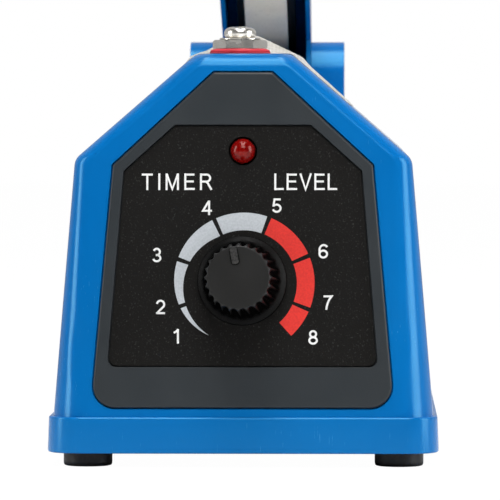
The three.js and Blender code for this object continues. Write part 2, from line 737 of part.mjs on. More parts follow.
// The strap goes over the core and under it, and holds it to the base plate.
function transformerStrap(bottom) {
  const inside = CORE_HALF_WIDTH + GAP;
  const outside = inside + STRAP_THICKNESS;
  const depth = [CORE_MIDDLE_Y - STRAP_HALF_DEPTH, CORE_MIDDLE_Y + STRAP_HALF_DEPTH];
  const top = bottom + CORE_HEIGHT + GAP;
  return join(
    block(-outside, -inside, ...depth, bottom, top + STRAP_THICKNESS),
    block(inside, outside, ...depth, bottom, top + STRAP_THICKNESS),
    block(-outside, outside, ...depth, top, top + STRAP_THICKNESS),
    block(-outside, outside, ...depth, bottom, bottom + STRAP_THICKNESS),
  );
}

function addTransformer(group) {
  const bottom = PLATE_TOP_Z + GAP;
  addPiece(group, "transformer_core", transformerCore(bottom), DARK_STEEL);
  addPiece(group, "transformer_coil", transformerCoil(bottom), AMBER_TAPE);
  addPiece(group, "transformer_strap", transformerStrap(bottom), STEEL);
}

// ---- sealing top

// The low tent of the non-stick cloth: flat over the heater, then down onto both shoulders.
function coverOutline() {
  const shoulderSlope = (TOP_Z - SHOULDER_Z) / (SHOULDER_HALF_WIDTH - TOP_HALF_WIDTH);
  const lift = 0.45;
  const thickness = 0.3;
  const onShoulder = (x) => TOP_Z - (x - TOP_HALF_WIDTH) * shoulderSlope + lift;
  const ridgeTop = TOP_Z + 2.2;
  const right = [
    [5.4, ridgeTop],
    [11.6, onShoulder(11.6)],
    [21.7, onShoulder(21.7)],
  ];
  const left = right.map(([x, z]) => [-x, z]).reverse();
  const lower = [...left, ...right];
  const upper = lower.map(([x, z]) => [x, z + thickness]).reverse();
  return flat([...lower, ...upper]);
}

// The insulating washer lies on the casing, with a collar that lines the hole.
function terminalWasher(washerTop) {
  const collarBottom = TOP_Z - WALL;
  const seat = TOP_Z + 0.05;
  return turned([
    [2.9, collarBottom], [2.9, seat], [6.2, seat], [6.2, washerTop], [2.6, washerTop], [2.6, collarBottom],
    [2.9, collarBottom],
  ], 20);
}

// A hexagon on a hollow shank.
function terminalStud(hexBottom, hexTop) {
  const hexProfile = [[2.2, hexBottom], [5.65, hexBottom], [5.65, hexTop], [2.2, hexTop], [2.2, hexBottom]];
  const hex = turned(hexProfile, 6);
  const shank = turned([[1.8, 74], [2.3, 74], [2.3, hexBottom + 1], [1.8, hexBottom + 1], [1.8, 74]], 20);
  return cut(join(hex, shank), post(0, 0, 70, 90, 1.8, 16));
}

// A pan-head screw with a crossed slot.
function terminalScrew(headBottom) {
  const screw = turned([
    [0, 76], [1.5, 76.5], [1.5, headBottom], [3.1, headBottom], [3.35, headBottom + 0.8],
    [3.1, headBottom + 1.6], [2.2, headBottom + 2.1], [0, headBottom + 2.3],
  ], 16);
  const slotBottom = headBottom + 1.2;
  const cross = join(
    block(-1.6, 1.6, -0.35, 0.35, slotBottom, slotBottom + 3),
    block(-0.35, 0.35, -1.6, 1.6, slotBottom, slotBottom + 3),
  );
  return cut(screw, cross);
}

// The front terminal: a red washer, a hexagonal stud and the screw that clamps the ribbon's lug.
function addFrontTerminal(group) {
  const at = (geometry) => geometry.translate(TERMINAL_X, -TERMINAL_Y, 0);
  const washerTop = TOP_Z + 1.1;
  const hexBottom = washerTop + 0.02;
  const hexTop = washerTop + 1.8;
  const lugBottom = hexTop + 0.02;
  const lugTop = hexTop + 0.4;
  addPiece(group, "terminal_washer", at(terminalWasher(washerTop)), RED_FIBRE);
  addPiece(group, "terminal_stud", at(terminalStud(hexBottom, hexTop)), NICKEL);
  const lug = [[1.9, lugBottom], [4.2, lugBottom], [4.2, lugTop], [1.9, lugTop], [1.9, lugBottom]];
  addPiece(group, "ribbon_lug_front", at(turned(lug, 20)), BRASS);
  addPiece(group, "terminal_screw", at(terminalScrew(lugTop + 0.05)), NICKEL);
  const nut = turned([[2.7, 77.6], [4.8, 77.6], [4.8, 81], [2.7, 81], [2.7, 77.6]], 6);
  addPiece(group, "terminal_nut", at(nut), BRASS);
}

// The ribbon runs flat under the cloth, then bends down through the slot behind the heater.
function ribbonOutline() {
  const top = TOP_Z + 1.9;
  const bend = 1;
  const behind = RIBBON_DROP_Y - RIBBON_THICKNESS;
  return flat([
    [RIBBON_FRONT_Y, top],
    [RIBBON_DROP_Y - bend, top],
    [RIBBON_DROP_Y, top - bend],
    [RIBBON_DROP_Y, RIBBON_END_Z],
    [behind, RIBBON_END_Z],
    [behind, top - bend - 0.1],
    [RIBBON_DROP_Y - bend - 0.1, top - RIBBON_THICKNESS],
    [RIBBON_FRONT_Y, top - RIBBON_THICKNESS],
  ]);
}

// The rear terminal hangs under the top: an insulating block with a screw that clamps the ribbon's end.
function addRearTerminal(group) {
  const face = RIBBON_DROP_Y - 2.6;
  const screwZ = RIBBON_END_Z - 3;
  const hub = block(-6, 6, face - 9, face, 66, TOP_Z - WALL - 0.3);
  const along = (geometry) => geometry.rotateX(-Math.PI / 2).translate(0, face, screwZ);
  addPiece(group, "terminal_block_rear", cut(hub, along(post(0, 0, -6, 1, 1.8, 12))), PHENOLIC);
  const lug = turned([[1.8, 0.1], [3.8, 0.1], [3.8, 0.6], [1.8, 0.6], [1.8, 0.1]], 16);
  addPiece(group, "ribbon_lug_rear", along(lug), BRASS);
  const screw = turned([[0, -5.5], [1.4, -5], [1.4, 0.7], [3, 0.7], [2.7, 1.8], [0, 2.2]], 14);
  addPiece(group, "terminal_screw_rear", along(screw), STEEL);
}

function addSealingTop(group) {
  const barTop = TOP_Z + 1.5;
  const bar = block(-5.2, 5.2, HEATER_FRONT_Y, HEATER_REAR_Y, TOP_Z + 0.05, barTop);
  addPiece(group, "heater_bar", bar, PHENOLIC);
  const tape = block(-4.6, 4.6, HEATER_FRONT_Y, HEATER_REAR_Y, barTop + 0.05, barTop + 0.2);
  addPiece(group, "insulating_tape", tape, AMBER_TAPE);
  addPiece(group, "heating_ribbon", extrudeX(ribbonOutline(), -1, 1), NICKEL);
  addPiece(group, "ptfe_cover", extrudeY(coverOutline(), COVER_FRONT_Y, COVER_REAR_Y), CREAM_CLOTH);
  addFrontTerminal(group);
  addRearTerminal(group);
}

// ---- press arm

// The side outline of the channel, from the front end round to the roof.
function armSideOutline() {
  const corners = flat([
    [ARM_FRONT, ARM_EDGE],
    [-15.4, ARM_EDGE],
    [-13.5, 5],
    [-13.5, -6.5],
    [16.5, -7.5],
    [16.5, -1],
    [11, 12],
    [ROOF_SLOPE_START, ARM_TOP + 1],
    [ARM_FRONT, ARM_TOP + 1],
  ]);
  return roundCorners(corners, [0, 0, 0, 2.5, 3, 0, 6, 0, 0], 4);
}

// The inverted channel: an outer block trimmed to the side outline, then hollowed from below.
function armChannel() {
  const outer = roundCorners(
    rectangleCorners(ARM_HALF_WIDTH, -9, ARM_TOP),
    [0, 0, 4, 4],
    4,
  );
  const innerX = ARM_HALF_WIDTH - ARM_WALL;
  const inner = roundCorners(
    rectangleCorners(innerX, -12, ARM_TOP - 2),
    [0, 0, 2.2, 2.2],
    3,
  );
  const hollow = flat([
    [ARM_FRONT + 2, -12],
    [14.2, -12],
    [14.2, -1],
    [9.4, 10.5],
    [ROOF_SLOPE_START, ARM_TOP - 1.15],
    [ARM_FRONT + 2, ARM_TOP - 1.15],
  ]);
  const envelope = ARM_HALF_WIDTH + OVERSHOOT;
  const shape = intersect(extrudeY(outer, ARM_FRONT, 18), extrudeX(armSideOutline(), -envelope, envelope));
  const room = intersect(extrudeY(inner, ARM_FRONT + 2, 19), extrudeX(hollow, -envelope, envelope));
  const trimmed = cut(shape, room);
  const toe = rod(-innerX - 0.5, innerX + 0.5, TOE.y, TOE.z, TOE.radius, 20);
  const web = block(-innerX - 0.5, innerX + 0.5, 5.5, 7.5, -6.5, 6);
  const tab = block(-1.2, 1.2, 7, 14.5, -7.5, -0.5);
  const pinHole = rod(-ARM_HALF_WIDTH - 1, ARM_HALF_WIDTH + 1, 0, 0, PIN_HOLE_RADIUS);
  const tailHole = rod(-2, 2, TAIL.y, TAIL.z, SCREW_HOLE_RADIUS, 12);
  const screwHoles = [...CARRIER_SCREWS_Y, HANDLE_SCREW_Y].map((y) => {
    return post(0, y, 20, 26, ARM_SCREW_HOLE_RADIUS, 12);
  });
  return cut(join(trimmed, toe, web, tab), pinHole, tailHole, ...screwHoles);
}

// The handle is a cap that slides over the front end of the channel.
function armHandle() {
  const ring = (halfWidth, low, high, y) => {
    const outline = roundCorners(rectangleCorners(halfWidth, low, high), [2.5, 2.5, 4, 4], 4);
    return outline.map((point) => new THREE.Vector3(point.x, y, point.y));
  };
  const grip = loft([
    ring(11, 14, 24, -292),
    ring(13.4, 11.5, 26.5, -289.5),
    ring(14, 10.5, 27.5, -284),
    ring(14, 9.5, 27.5, -262),
    ring(13.4, 9.5, 26.6, -247),
    ring(12.8, 9.5, 26, -244),
  ]);
  const socket = block(-ARM_HALF_WIDTH - GAP, ARM_HALF_WIDTH + GAP, ARM_FRONT - GAP, -240, 0, ARM_TOP + GAP);
  const screwHole = post(0, HANDLE_SCREW_Y, 20, 30, ARM_SCREW_HOLE_RADIUS, 12);
  const headRoom = post(0, HANDLE_SCREW_Y, 26.2, 30, 3.4, 16);
  return cut(grip, socket, screwHole, headRoom);
}

// A pan-head screw driven down into the arm.
function panScrew(y, headBottom, tipZ) {
  const shank = [[0, tipZ], [1.4, tipZ + 0.5], [1.4, headBottom]];
  const head = [[3, headBottom], [2.8, headBottom + 0.9], [1.7, headBottom + 1.5], [0, headBottom + 1.6]];
  return turned([...shank, ...head], 16).translate(0, y, 0);
}

// The carrier fills the channel above the strip; its rear end slopes under the channel's roof.
function stripCarrier() {
  const front = STRIP_FRONT - 0.5;
  const rear = STRIP_REAR + 0.5;
  const outline = flat([
    [front, 11.2],
    [rear, 11.2],
    [rear, 12.3],
    [ROOF_SLOPE_START + 1.4, CARRIER_TOP],
    [front, CARRIER_TOP],
  ]);
  const carrier = extrudeX(outline, -7.2, 7.2);
  const grooveHalfWidth = STRIP_HALF_WIDTH + GAP;
  const groove = block(-grooveHalfWidth, grooveHalfWidth, front - OVERSHOOT, rear + OVERSHOOT, 10, 12.4);
  const screwHoles = CARRIER_SCREWS_Y.map((y) => post(0, y, 14, 24, 1.7, 12));
  return cut(carrier, groove, ...screwHoles);
}

function addArm(group) {
  const arm = new THREE.Group();
  arm.position.set(0, HINGE_Y, HINGE_Z);
  arm.rotation.x = -OPEN_ANGLE;
  addPiece(arm, "press_arm", armChannel(), BLUE);
  addPiece(arm, "arm_handle", armHandle(), BLACK);
  addPiece(arm, "handle_screw", panScrew(HANDLE_SCREW_Y, 26.5, 16), STEEL);
  addPiece(arm, "strip_carrier", stripCarrier(), BLACK);
  addPiece(arm, "carrier_screw_front", panScrew(CARRIER_SCREWS_Y[0], ARM_TOP + GAP, 15), STEEL);
  addPiece(arm, "carrier_screw_rear", panScrew(CARRIER_SCREWS_Y[1], ARM_TOP + GAP, 15), STEEL);
  const strip = block(-STRIP_HALF_WIDTH, STRIP_HALF_WIDTH, STRIP_FRONT, STRIP_REAR, 9.7, 12.1);
  addPiece(arm, "silicone_strip", strip, SILICONE);
  group.add(arm);
  const pin = rod(-EAR_HALF_WIDTH + 0.3, EAR_HALF_WIDTH - 0.3, HINGE_Y, HINGE_Z, PIN_RADIUS);
  addPiece(group, "hinge_pin", pin, STEEL);
}

// ---- springs and switch gear

// Where the return spring hangs: under the tail hole of the open arm.
function springY() {
  return HINGE_Y + TAIL.y * Math.cos(OPEN_ANGLE) + TAIL.z * Math.sin(OPEN_ANGLE);
}

function springTopZ() {
  return HINGE_Z - TAIL.y * Math.sin(OPEN_ANGLE) + TAIL.z * Math.cos(OPEN_ANGLE);
}

// An eye at an end of the spring, in a plane across the machine.
function springEye(z, startAngle, endAngle) {
  const points = [];
  for (let i = 0; i <= 10; i += 1) {
    const angle = startAngle + ((endAngle - startAngle) * i) / 10;
    points.push(new THREE.Vector3(3 * Math.cos(angle), springY(), z + 3 * Math.sin(angle)));
  }
  return points;
}

function returnSpring() {
  const lowEye = springEye(13, 60 * DEGREE, -240 * DEGREE);
  const coil = helix(0, springY(), 18.5, springTopZ() - 8.5, 4, 180 * DEGREE, 11.5, 8);
  const highEye = springEye(springTopZ() - 3, -60 * DEGREE, 240 * DEGREE);
  return wire([...lowEye, ...coil, ...highEye], 0.6, 4, 140);
}

function pushRod() {
  return turned([
    [0, ROD_BOTTOM_Z], [ROD_RADIUS, ROD_BOTTOM_Z + 0.4], [ROD_RADIUS, ROD_TOP_Z - 2],
    [ROD_HEAD_RADIUS, ROD_TOP_Z - 2], [ROD_HEAD_RADIUS, ROD_TOP_Z - 0.3], [0, ROD_TOP_Z],
  ], 16).translate(0, ROD_Y, 0);
}

function addPushRod(group) {
  addPiece(group, "push_rod", pushRod(), BRASS);
  const coil = helix(0, ROD_Y, GUIDE_TOP_Z + 0.5, ROD_TOP_Z - 2.5, 2.75, 0, 4, 8);
  addPiece(group, "push_rod_spring", wire(coil, 0.25, 4, 36), STEEL);
}

// A switch body with a sprung button and a lever over it; the push rod comes down on the lever's free end.
function addSwitch(group) {
  const pivotY = ROD_Y - LEVER_LENGTH;
  const screwsY = [pivotY, pivotY + SWITCH_SCREW_PITCH];
  const buttonY = pivotY + BUTTON_OFFSET_Y;
  const half = SWITCH_HALF_WIDTH;
  const body = block(-half, half, pivotY - 4, ROD_Y + 5, SWITCH_BOTTOM_Z, SWITCH_TOP_Z);
  const buttonWell = block(-1.8, 1.8, buttonY - 1.3, buttonY + 1.3, SWITCH_TOP_Z - 4, SWITCH_TOP_Z + 1);
  const screwHoles = screwsY.map((y) => rod(-6, 6, y, SWITCH_SCREW_Z, 1.6, 12));
  addPiece(group, "microswitch_body", cut(body, buttonWell, ...screwHoles), BLACK);
  const button = block(-1.5, 1.5, buttonY - 1, buttonY + 1, SWITCH_TOP_Z - 2.6, SWITCH_TOP_Z + 1.6);
  addPiece(group, "microswitch_button", button, RED_LENS);

  const lever = block(-2.2, 2.2, 0, LEVER_LENGTH + 2, -0.2, 0.2);
  lever.rotateX(LEVER_LIFT).translate(0, pivotY, LEVER_PIVOT_Z);
  const curl = rod(-2.2, 2.2, pivotY, LEVER_PIVOT_Z, 0.6, 10);
  addPiece(group, "microswitch_lever", join(lever, curl), STEEL);
}

// An angle bracket on the base plate holds the switch with two screws.
function addSwitchBracket(group) {
  const pivotY = ROD_Y - LEVER_LENGTH;
  const screwsY = [pivotY, pivotY + SWITCH_SCREW_PITCH];
  const near = SWITCH_HALF_WIDTH + GAP;
  const ends = [pivotY - 3.5, ROD_Y + 4.5];
  const foot = PLATE_TOP_Z + 0.05;
  const plate = block(near, near + 1.2, ...ends, foot, SWITCH_TOP_Z - 3);
  const flange = block(near, 18, ...ends, foot, foot + 1.25);
  const screwHoles = screwsY.map((y) => rod(5, 7, y, SWITCH_SCREW_Z, 1.6, 12));
  addPiece(group, "switch_bracket", cut(join(plate, flange), ...screwHoles), STEEL);
  ["front", "rear"].forEach((place, i) => {
    const shank = rod(-5.2, 9, screwsY[i], SWITCH_SCREW_Z, 1.3, 12);
    const head = rod(-7, -5.2, screwsY[i], SWITCH_SCREW_Z, 2.6, 12);
    addPiece(group, `switch_screw_${place}`, join(shank, head), STEEL);
  });
}

function addSwitchGear(group) {
  addPiece(group, "return_spring", returnSpring(), STEEL);
  addPushRod(group);
  addSwitch(group);
  addSwitchBracket(group);
}

// ---- wiring and power lead

function spot(x, y, z) {
  return new THREE.Vector3(x, y, z);
}

// The lead leaves the rear wall, winds down a coil on the floor and turns inward to the plug.
function leadPath() {
  const floorZ = LEAD_RADIUS + 0.1;
  const top = floorZ + COIL_PITCH * COIL_TURNS;
  const start = [
    spot(LEAD_EXIT.x, RIM_HALF_LENGTH - 16, LEAD_EXIT.z),
    spot(LEAD_EXIT.x, RIM_HALF_LENGTH - 4, LEAD_EXIT.z),
    spot(LEAD_EXIT.x, RIM_HALF_LENGTH + 6, LEAD_EXIT.z),
    spot(LEAD_EXIT.x, RIM_HALF_LENGTH + 9, LEAD_EXIT.z),
    spot(LEAD_EXIT.x + 5, RIM_HALF_LENGTH + 20, LEAD_EXIT.z + 6),
    spot(LEAD_EXIT.x + 11, RIM_HALF_LENGTH + 31, top - 1.5),
  ];
  const coil = helix(0, COIL_CENTRE_Y, top, floorZ, COIL_RADIUS, 0, COIL_TURNS, 20);
  const turnIn = [[10, 34, 0], [28, 31.3, 0], [50, 27.3, 0.3], [70, 25, 1]].map(([degrees, radius, lift]) => {
    const angle = degrees * DEGREE;
    return spot(radius * Math.cos(angle), COIL_CENTRE_Y + radius * Math.sin(angle), floorZ + lift);
  });
  const end = [
    spot(2.2, COIL_CENTRE_Y + 21.5, floorZ + 2),
    spot(0.2, COIL_CENTRE_Y + 16.5, floorZ + 2.9),
    spot(0, COIL_CENTRE_Y + 11.3, floorZ + 3.2),
  ];
  return [...start, ...coil, ...turnIn, ...end];
}

// A moulded plug with two flat blades, lying inside the coil.
function plug() {
  const ring = (halfWidth, halfHeight, y) => {
    const outline = roundCorners(rectangleCorners(halfWidth, -halfHeight, halfHeight), [3, 3, 3, 3], 3);
    return outline.map((point) => spot(point.x, y, point.y));
  };
  const grip = loft([
    ring(4.2, 4.2, 0),
    ring(4.8, 4.8, -7),
    ring(9, 5.8, -12),
    ring(11, 6.2, -24),
    ring(10.4, 5.6, -26),
  ]);
  const blades = [-6.35, 6.35].map((x) => block(x - 0.75, x + 0.75, -40.5, -25, -3.1, 3.1));
  return join(grip, ...blades).translate(0, COIL_CENTRE_Y + 11, 6.5);
}

// The rubber bushing that grips the lead where it leaves the rear wall.
function grommet() {
  const profile = [
    [3.7, 138.9], [6.5, 138.9], [6.5, 141.2], [5.3, 141.2], [5.3, 145.5], [6.8, 145.5],
    [6.8, 147.2], [5, 147.7], [4.5, 151.5], [3.7, 151.5], [3.7, 138.9],
  ];
  return turned(profile, 16).rotateX(-Math.PI / 2).translate(LEAD_EXIT.x, 0, LEAD_EXIT.z);
}

function addWiring(group) {
  addPiece(group, "power_lead", wire(leadPath(), LEAD_RADIUS, 6, 104), BLACK);
  addPiece(group, "power_plug", plug(), BLACK);
  addPiece(group, "lead_grommet", grommet(), RUBBER);
  const frontWire = [
    spot(2.7, -127, 76),
    spot(4, -118, 72),
    spot(6, -100, 66),
    spot(8, -80, 58),
    spot(8, -68, 48),
    spot(8, -65, 40),
  ];
  addPiece(group, "wire_front_terminal", wire(frontWire, WIRE_RADIUS, 6, 20), RED_WIRE);
  const rearWire = [
    spot(0, 76.5, 70),
    spot(2, 68, 70),
    spot(10, 50, 66),
    spot(12, 30, 60),
    spot(9, 8, 52),
    spot(8, -4, 44),
    spot(8, -5.5, 38),
  ];
  addPiece(group, "wire_rear_terminal", wire(rearWire, WIRE_RADIUS, 6, 20), RED_WIRE);
  const switchWire = [
    spot(2, 84, 23),
    spot(4, 70, 22),
    spot(8, 40, 40),
    spot(-14, 0, 63),
    spot(-18, -35, 64),
    spot(-18, -75, 60),
    spot(-16, -100, 52),
    spot(-14, -124, 48),
  ];
  addPiece(group, "wire_switch", wire(switchWire, WIRE_RADIUS, 6, 28), RED_WIRE);
  const mainsWire = [
    spot(20, 128, 18),
    spot(20, 100, 16),
    spot(22, 60, 16),
    spot(15, 20, 22),
    spot(12, 0, 28),
    spot(12, -6, 31),
  ];
  addPiece(group, "wire_mains", wire(mainsWire, WIRE_RADIUS, 6, 20), BLACK);
}

const sealer = new THREE.Group();
addCasing(sealer);
addBase(sealer);
addPanel(sealer);
addTransformer(sealer);
addSealingTop(sealer);
addArm(sealer);
addSwitchGear(sealer);
addWiring(sealer);
sealer.children.forEach((child) => {
  child.position.y -= FOOTPRINT_MIDDLE_Y;
});

const part = new THREE.Group();
part.add(sealer);
export default part;
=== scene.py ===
"""Looks of the tabletop impulse heat sealer: fine meshes and procedural materials around the CAD frame.

Lengths inside the shape functions are millimetres and are turned into metres when a mesh is made.
The machine frame has its origin on the floor under the middle of the casing. The panel frame has its
origin on the knob's axis, with Y going into the machine. The arm frame has its origin on the hinge, with
the arm closed.
"""

import json
import math

import bmesh
import bpy
from mathutils import Matrix, Vector

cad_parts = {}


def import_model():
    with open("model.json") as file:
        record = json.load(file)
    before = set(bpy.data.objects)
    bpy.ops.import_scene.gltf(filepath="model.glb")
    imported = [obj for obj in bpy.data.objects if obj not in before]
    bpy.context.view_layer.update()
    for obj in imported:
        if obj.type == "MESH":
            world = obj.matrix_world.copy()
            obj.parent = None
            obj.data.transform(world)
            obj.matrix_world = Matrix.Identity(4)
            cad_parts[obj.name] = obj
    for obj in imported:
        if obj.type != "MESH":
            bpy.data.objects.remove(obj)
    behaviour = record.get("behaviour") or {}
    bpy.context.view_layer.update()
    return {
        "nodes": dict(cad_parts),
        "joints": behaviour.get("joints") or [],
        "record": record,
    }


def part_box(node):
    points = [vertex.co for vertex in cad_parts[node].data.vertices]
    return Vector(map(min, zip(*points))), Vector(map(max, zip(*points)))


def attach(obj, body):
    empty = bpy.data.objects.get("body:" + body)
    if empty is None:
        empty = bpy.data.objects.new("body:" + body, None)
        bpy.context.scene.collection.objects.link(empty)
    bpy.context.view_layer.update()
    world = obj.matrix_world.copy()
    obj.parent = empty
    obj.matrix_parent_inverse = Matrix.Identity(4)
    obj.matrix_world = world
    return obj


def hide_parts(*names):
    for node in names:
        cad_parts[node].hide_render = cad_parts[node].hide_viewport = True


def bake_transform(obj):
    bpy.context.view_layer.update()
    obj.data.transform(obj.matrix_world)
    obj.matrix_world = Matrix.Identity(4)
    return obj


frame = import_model()

MM = 0.001
BEVEL_ANGLE = math.radians(32)
CREASE_ANGLE = math.radians(50)
CAD_EDGE = {"width": 0.12 * MM, "angle": math.radians(40), "weld": 1e-6}

# Casing, in the machine frame
RIM = {"half_width": 40, "half_length": 146, "low": 3, "high": 10.4, "radius": 7}
LEDGE = 0.8
BODY_HALF_WIDTH = 38.9
SHOULDER_HALF_WIDTH = 34.5
SHOULDER_Z = 62.8
TOP_HALF_WIDTH = 9.7
TOP_Z = 84.4
BODY_FILLET = 3.2
FOOT_CORNER_RADIUS = 8.2
RIDGE_CORNER_RADIUS = 4
END_LEAN = math.radians(5)
DIMPLE_REACH = 60
WALL = 2.4
HINGE_Y = 114
HINGE_Z = 77.5
EAR = {"inner": 11.2, "outer": 19.5, "half_length": 11, "root": 66, "top": 90.3, "radius": 8}
WELL = {"front": 99, "rear": 132.5, "floor": 60}
ROD_Y = 102.7
PIN_BORE = 2.8
SCREW_BORE = 1.8
LEAD_X = 20
LEAD_Z = 18

# Panel, in the panel frame
LABEL_FRONT = 0.1
LAMP_HEIGHT = 26.6
LAMP_BORE = 2.9
LAMP_RADIUS = 2.5
SHAFT_BORE = 3.8
DIAL_OUTER = 14.4
DIAL_INNER = 10.8
PRINT_SHIFT = Vector((0.25, -0.4))
PRINT_STROKE = 0.41
NUMBER_HEIGHT = 2.95
WORD_HEIGHT = 3.4
WORD_Z = 20.3
KNOB_FLUTES = 24
KNOB_LEAN = Matrix.Rotation(math.radians(-2.2), 4, "Z")
POINTER_TURN = Matrix.Rotation(math.radians(-10), 4, "Y")

# Front terminal and cloth, in the machine frame
TERMINAL_X = -0.9
TERMINAL_Y = -127
TERMINAL = Matrix.Translation((TERMINAL_X, TERMINAL_Y, 0))
HEX_LOW = 85.52
SCREW_HEAD_LOW = 87.76
CLOTH_FRONT = -120.5
CLOTH_REAR = 86
CLOTH_HALF_WIDTH = 21.7
CLOTH_THICKNESS = 0.15
RIDGE_RISE = 2.25
TENT = [
    (-21.7, 74.3), (-13.3, 81.6), (-11.4, 84.0), (-9.8, 84.6), (-8.2, 85.1), (-6.75, 85.9), (-2, 88.0),
    (2.4, 88.3), (7.6, 85.8), (11.8, 83.75), (13.3, 82.0), (21.7, 74.4),
]

# Press arm, in the arm frame
ARM_HALF_WIDTH = 11.1
ARM_WALL = 1.1
ARM_FRONT = -264
ARM_TOP = 24
ARM_EDGE = 8.5
ROOF_SLOPE_START = -22
HANDLE_SCREW_Y = -257
CARRIER_SCREWS_Y = (-210, -40)
STRIP = {"half_width": 5.3, "front": -227.5, "rear": 3, "low": 9.7, "high": 12.1}

# Lead coiled behind the casing, in the machine frame
COIL_Y = 190
COIL_RADIUS = 34
COIL_TURNS = 4
COIL_PITCH = 6.9
COIL_LOW = 3.3
LEAD_RADIUS = 3.1

# Studio
FLOOR_GLOW = 0.985
WORLD_FRONT = 0.02
WORLD_BACK = 0.6
WORLD_DARK_Y = -0.05
WORLD_LIGHT_Y = 0.6
FLOOR_HALF_WIDTH = 4000
FLOOR_DROP = 0.00002
CAMERA = {"place": (0.0252, -1.1806, 0.072), "left": math.radians(1.353), "down": math.radians(1.578)}
CAMERA_LENS = {"lens": 355.2, "sensor_width": 36, "clip_start": 0.05}
FOCUS_STOP = 160

joints = {joint["name"]: joint for joint in frame["joints"]}
body_low, body_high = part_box("body_shell")
MACHINE = Matrix.Translation((0, (body_low.y + body_high.y) / 2, 0))
PANEL = Matrix.Translation(joints["knob_turn"]["pos_m"]) @ Matrix.Rotation(-END_LEAN, 4, "X")
OPEN_ANGLE = math.radians(joints["arm_hinge"]["range_deg"][1])
ARM = Matrix.Translation(joints["arm_hinge"]["pos_m"]) @ Matrix.Rotation(-OPEN_ANGLE, 4, "X")


# ---- outlines

def round_corners(corners, radii, steps):
    """A closed outline with each corner turned into an arc; a radius of 0 keeps the corner sharp."""
    outline = []
    points = [Vector(corner) for corner in corners]
    for i, corner in enumerate(points):
        if radii[i] == 0:
            outline.append(corner)
            continue
        back = (points[i - 1] - corner).normalized()
        ahead = (points[(i + 1) % len(points)] - corner).normalized()
        half = math.acos(max(-1, min(1, back.dot(ahead)))) / 2
        centre = corner + (back + ahead).normalized() * radii[i] / math.sin(half)
        reach = radii[i] / math.tan(half)
        first = corner + back * reach - centre
        last = corner + ahead * reach - centre
        sweep = math.atan2(first.x * last.y - first.y * last.x, first.dot(last))
        for k in range(steps + 1):
            turn = Matrix.Rotation(sweep * k / steps, 2)
            outline.append(centre + turn @ first)
    return outline


def inset_corners(corners, inset):
    """The corners of a convex counter-clockwise outline after every edge moves inward."""
    points = [Vector(corner) for corner in corners]
    count = len(points)
    edges = []
    for i in range(count):
        along = (points[(i + 1) % count] - points[i]).normalized()
        edges.append((points[i] + Vector((-along.y, along.x)) * inset, along))
    moved = []
    for i in range(count):
        start_a, along_a = edges[i - 1]
        start_b, along_b = edges[i]
        gap = start_b - start_a
        turn = along_a.x * along_b.y - along_a.y * along_b.x
        reach = (gap.x * along_b.y - gap.y * along_b.x) / turn
        moved.append(start_a + along_a * reach)
    return moved


def rectangle(x0, x1, z0, z1):
    return [(x0, z0), (x1, z0), (x1, z1), (x0, z1)]


def circle(x, z, radius, sides=48):
    angles = [2 * math.pi * i / sides for i in range(sides)]
    return [Vector((x + radius * math.cos(a), z + radius * math.sin(a))) for a in angles]


def half_extent_at(outline, height):
    """Half the width of a closed symmetric outline at a height."""
    extent = 0
    for i, point in enumerate(outline):
        after = outline[(i + 1) % len(outline)]
        rise = after.y - point.y
        if abs(height - point.y) < 1e-6:
            extent = max(extent, point.x)
        elif abs(rise) > 1e-9 and 0 <= (height - point.y) / rise <= 1:
            extent = max(extent, point.x + (after.x - point.x) * (height - point.y) / rise)
    return extent


def level_ring(half_width, half_length, radius, z):
    """A rounded rectangle lying at a height."""
    corners = rectangle(-half_width, half_width, -half_length, half_length)
    return [Vector((p.x, p.y, z)) for p in round_corners(corners, [radius] * 4, 8)]


def upright_ring(outline, y):
    """An outline standing across the length of the machine."""
    return [Vector((p.x, y, p.y)) for p in outline]


# ---- meshes

def loft(rings, caps=True):
    """Points and faces of a skin over rings that all have the same number of points."""
    size = len(rings[0])
    points = [point for ring in rings for point in ring]
    faces = []
    for r in range(len(rings) - 1):
        for i in range(size):
            after = (i + 1) % size
            low, high = r * size, (r + 1) * size
            faces.append((low + i, low + after, high + after, high + i))
    if caps:
        faces.append(tuple(range(size - 1, -1, -1)))
        faces.append(tuple((len(rings) - 1) * size + i for i in range(size)))
    return points, faces


def extrude(outline, start, end, axis):
    """Points and faces of a flat outline, in the other two axes in order, pushed along an axis."""
    place = {
        "X": lambda p, at: Vector((at, p.x, p.y)),
        "Y": lambda p, at: Vector((p.x, at, p.y)),
        "Z": lambda p, at: Vector((p.x, p.y, at)),
    }[axis]
    return loft([[place(p, start) for p in outline], [place(p, end) for p in outline]])


def block(x0, x1, y0, y1, z0, z1):
    return extrude([Vector(corner) for corner in rectangle(x0, x1, y0, y1)], z0, z1, "Z")


def rod(x, z, radius, start, end, axis, sides=48):
    """Points and faces of a round rod along an axis, with its middle at (x, z) of the other two axes."""
    return extrude(circle(x, z, radius, sides), start, end, axis)


def turned(profile, sides=48):
    """Points and faces of a shape turned about the vertical axis, from (radius, height) pairs."""
    rings = []
    for radius, height in profile:
        angles = [2 * math.pi * i / sides for i in range(sides)]
        rings.append([Vector((radius * math.cos(a), radius * math.sin(a), height)) for a in angles])
    return loft(rings, caps=False)


def moved(shape, matrix):
    points, faces = shape
    return [matrix @ point for point in points], faces


def add_object(name, data, place=Matrix.Identity(4)):
    obj = bpy.data.objects.new(name, data)
    bpy.context.scene.collection.objects.link(obj)
    obj.matrix_world = place
    return obj


def fill(bm, shape, material=0):
    """Adds a shape in millimetres to a mesh, with the number of its material."""
    points, faces = shape
    corners = [bm.verts.new(point * MM) for point in points]
    for face in faces:
        bm.faces.new([corners[i] for i in face]).material_index = material


def close(bm, name, place):
    """The object of a filled mesh."""
    mesh = bpy.data.meshes.new(name)
    bm.to_mesh(mesh)
    bm.free()
    return add_object(name, mesh, place)


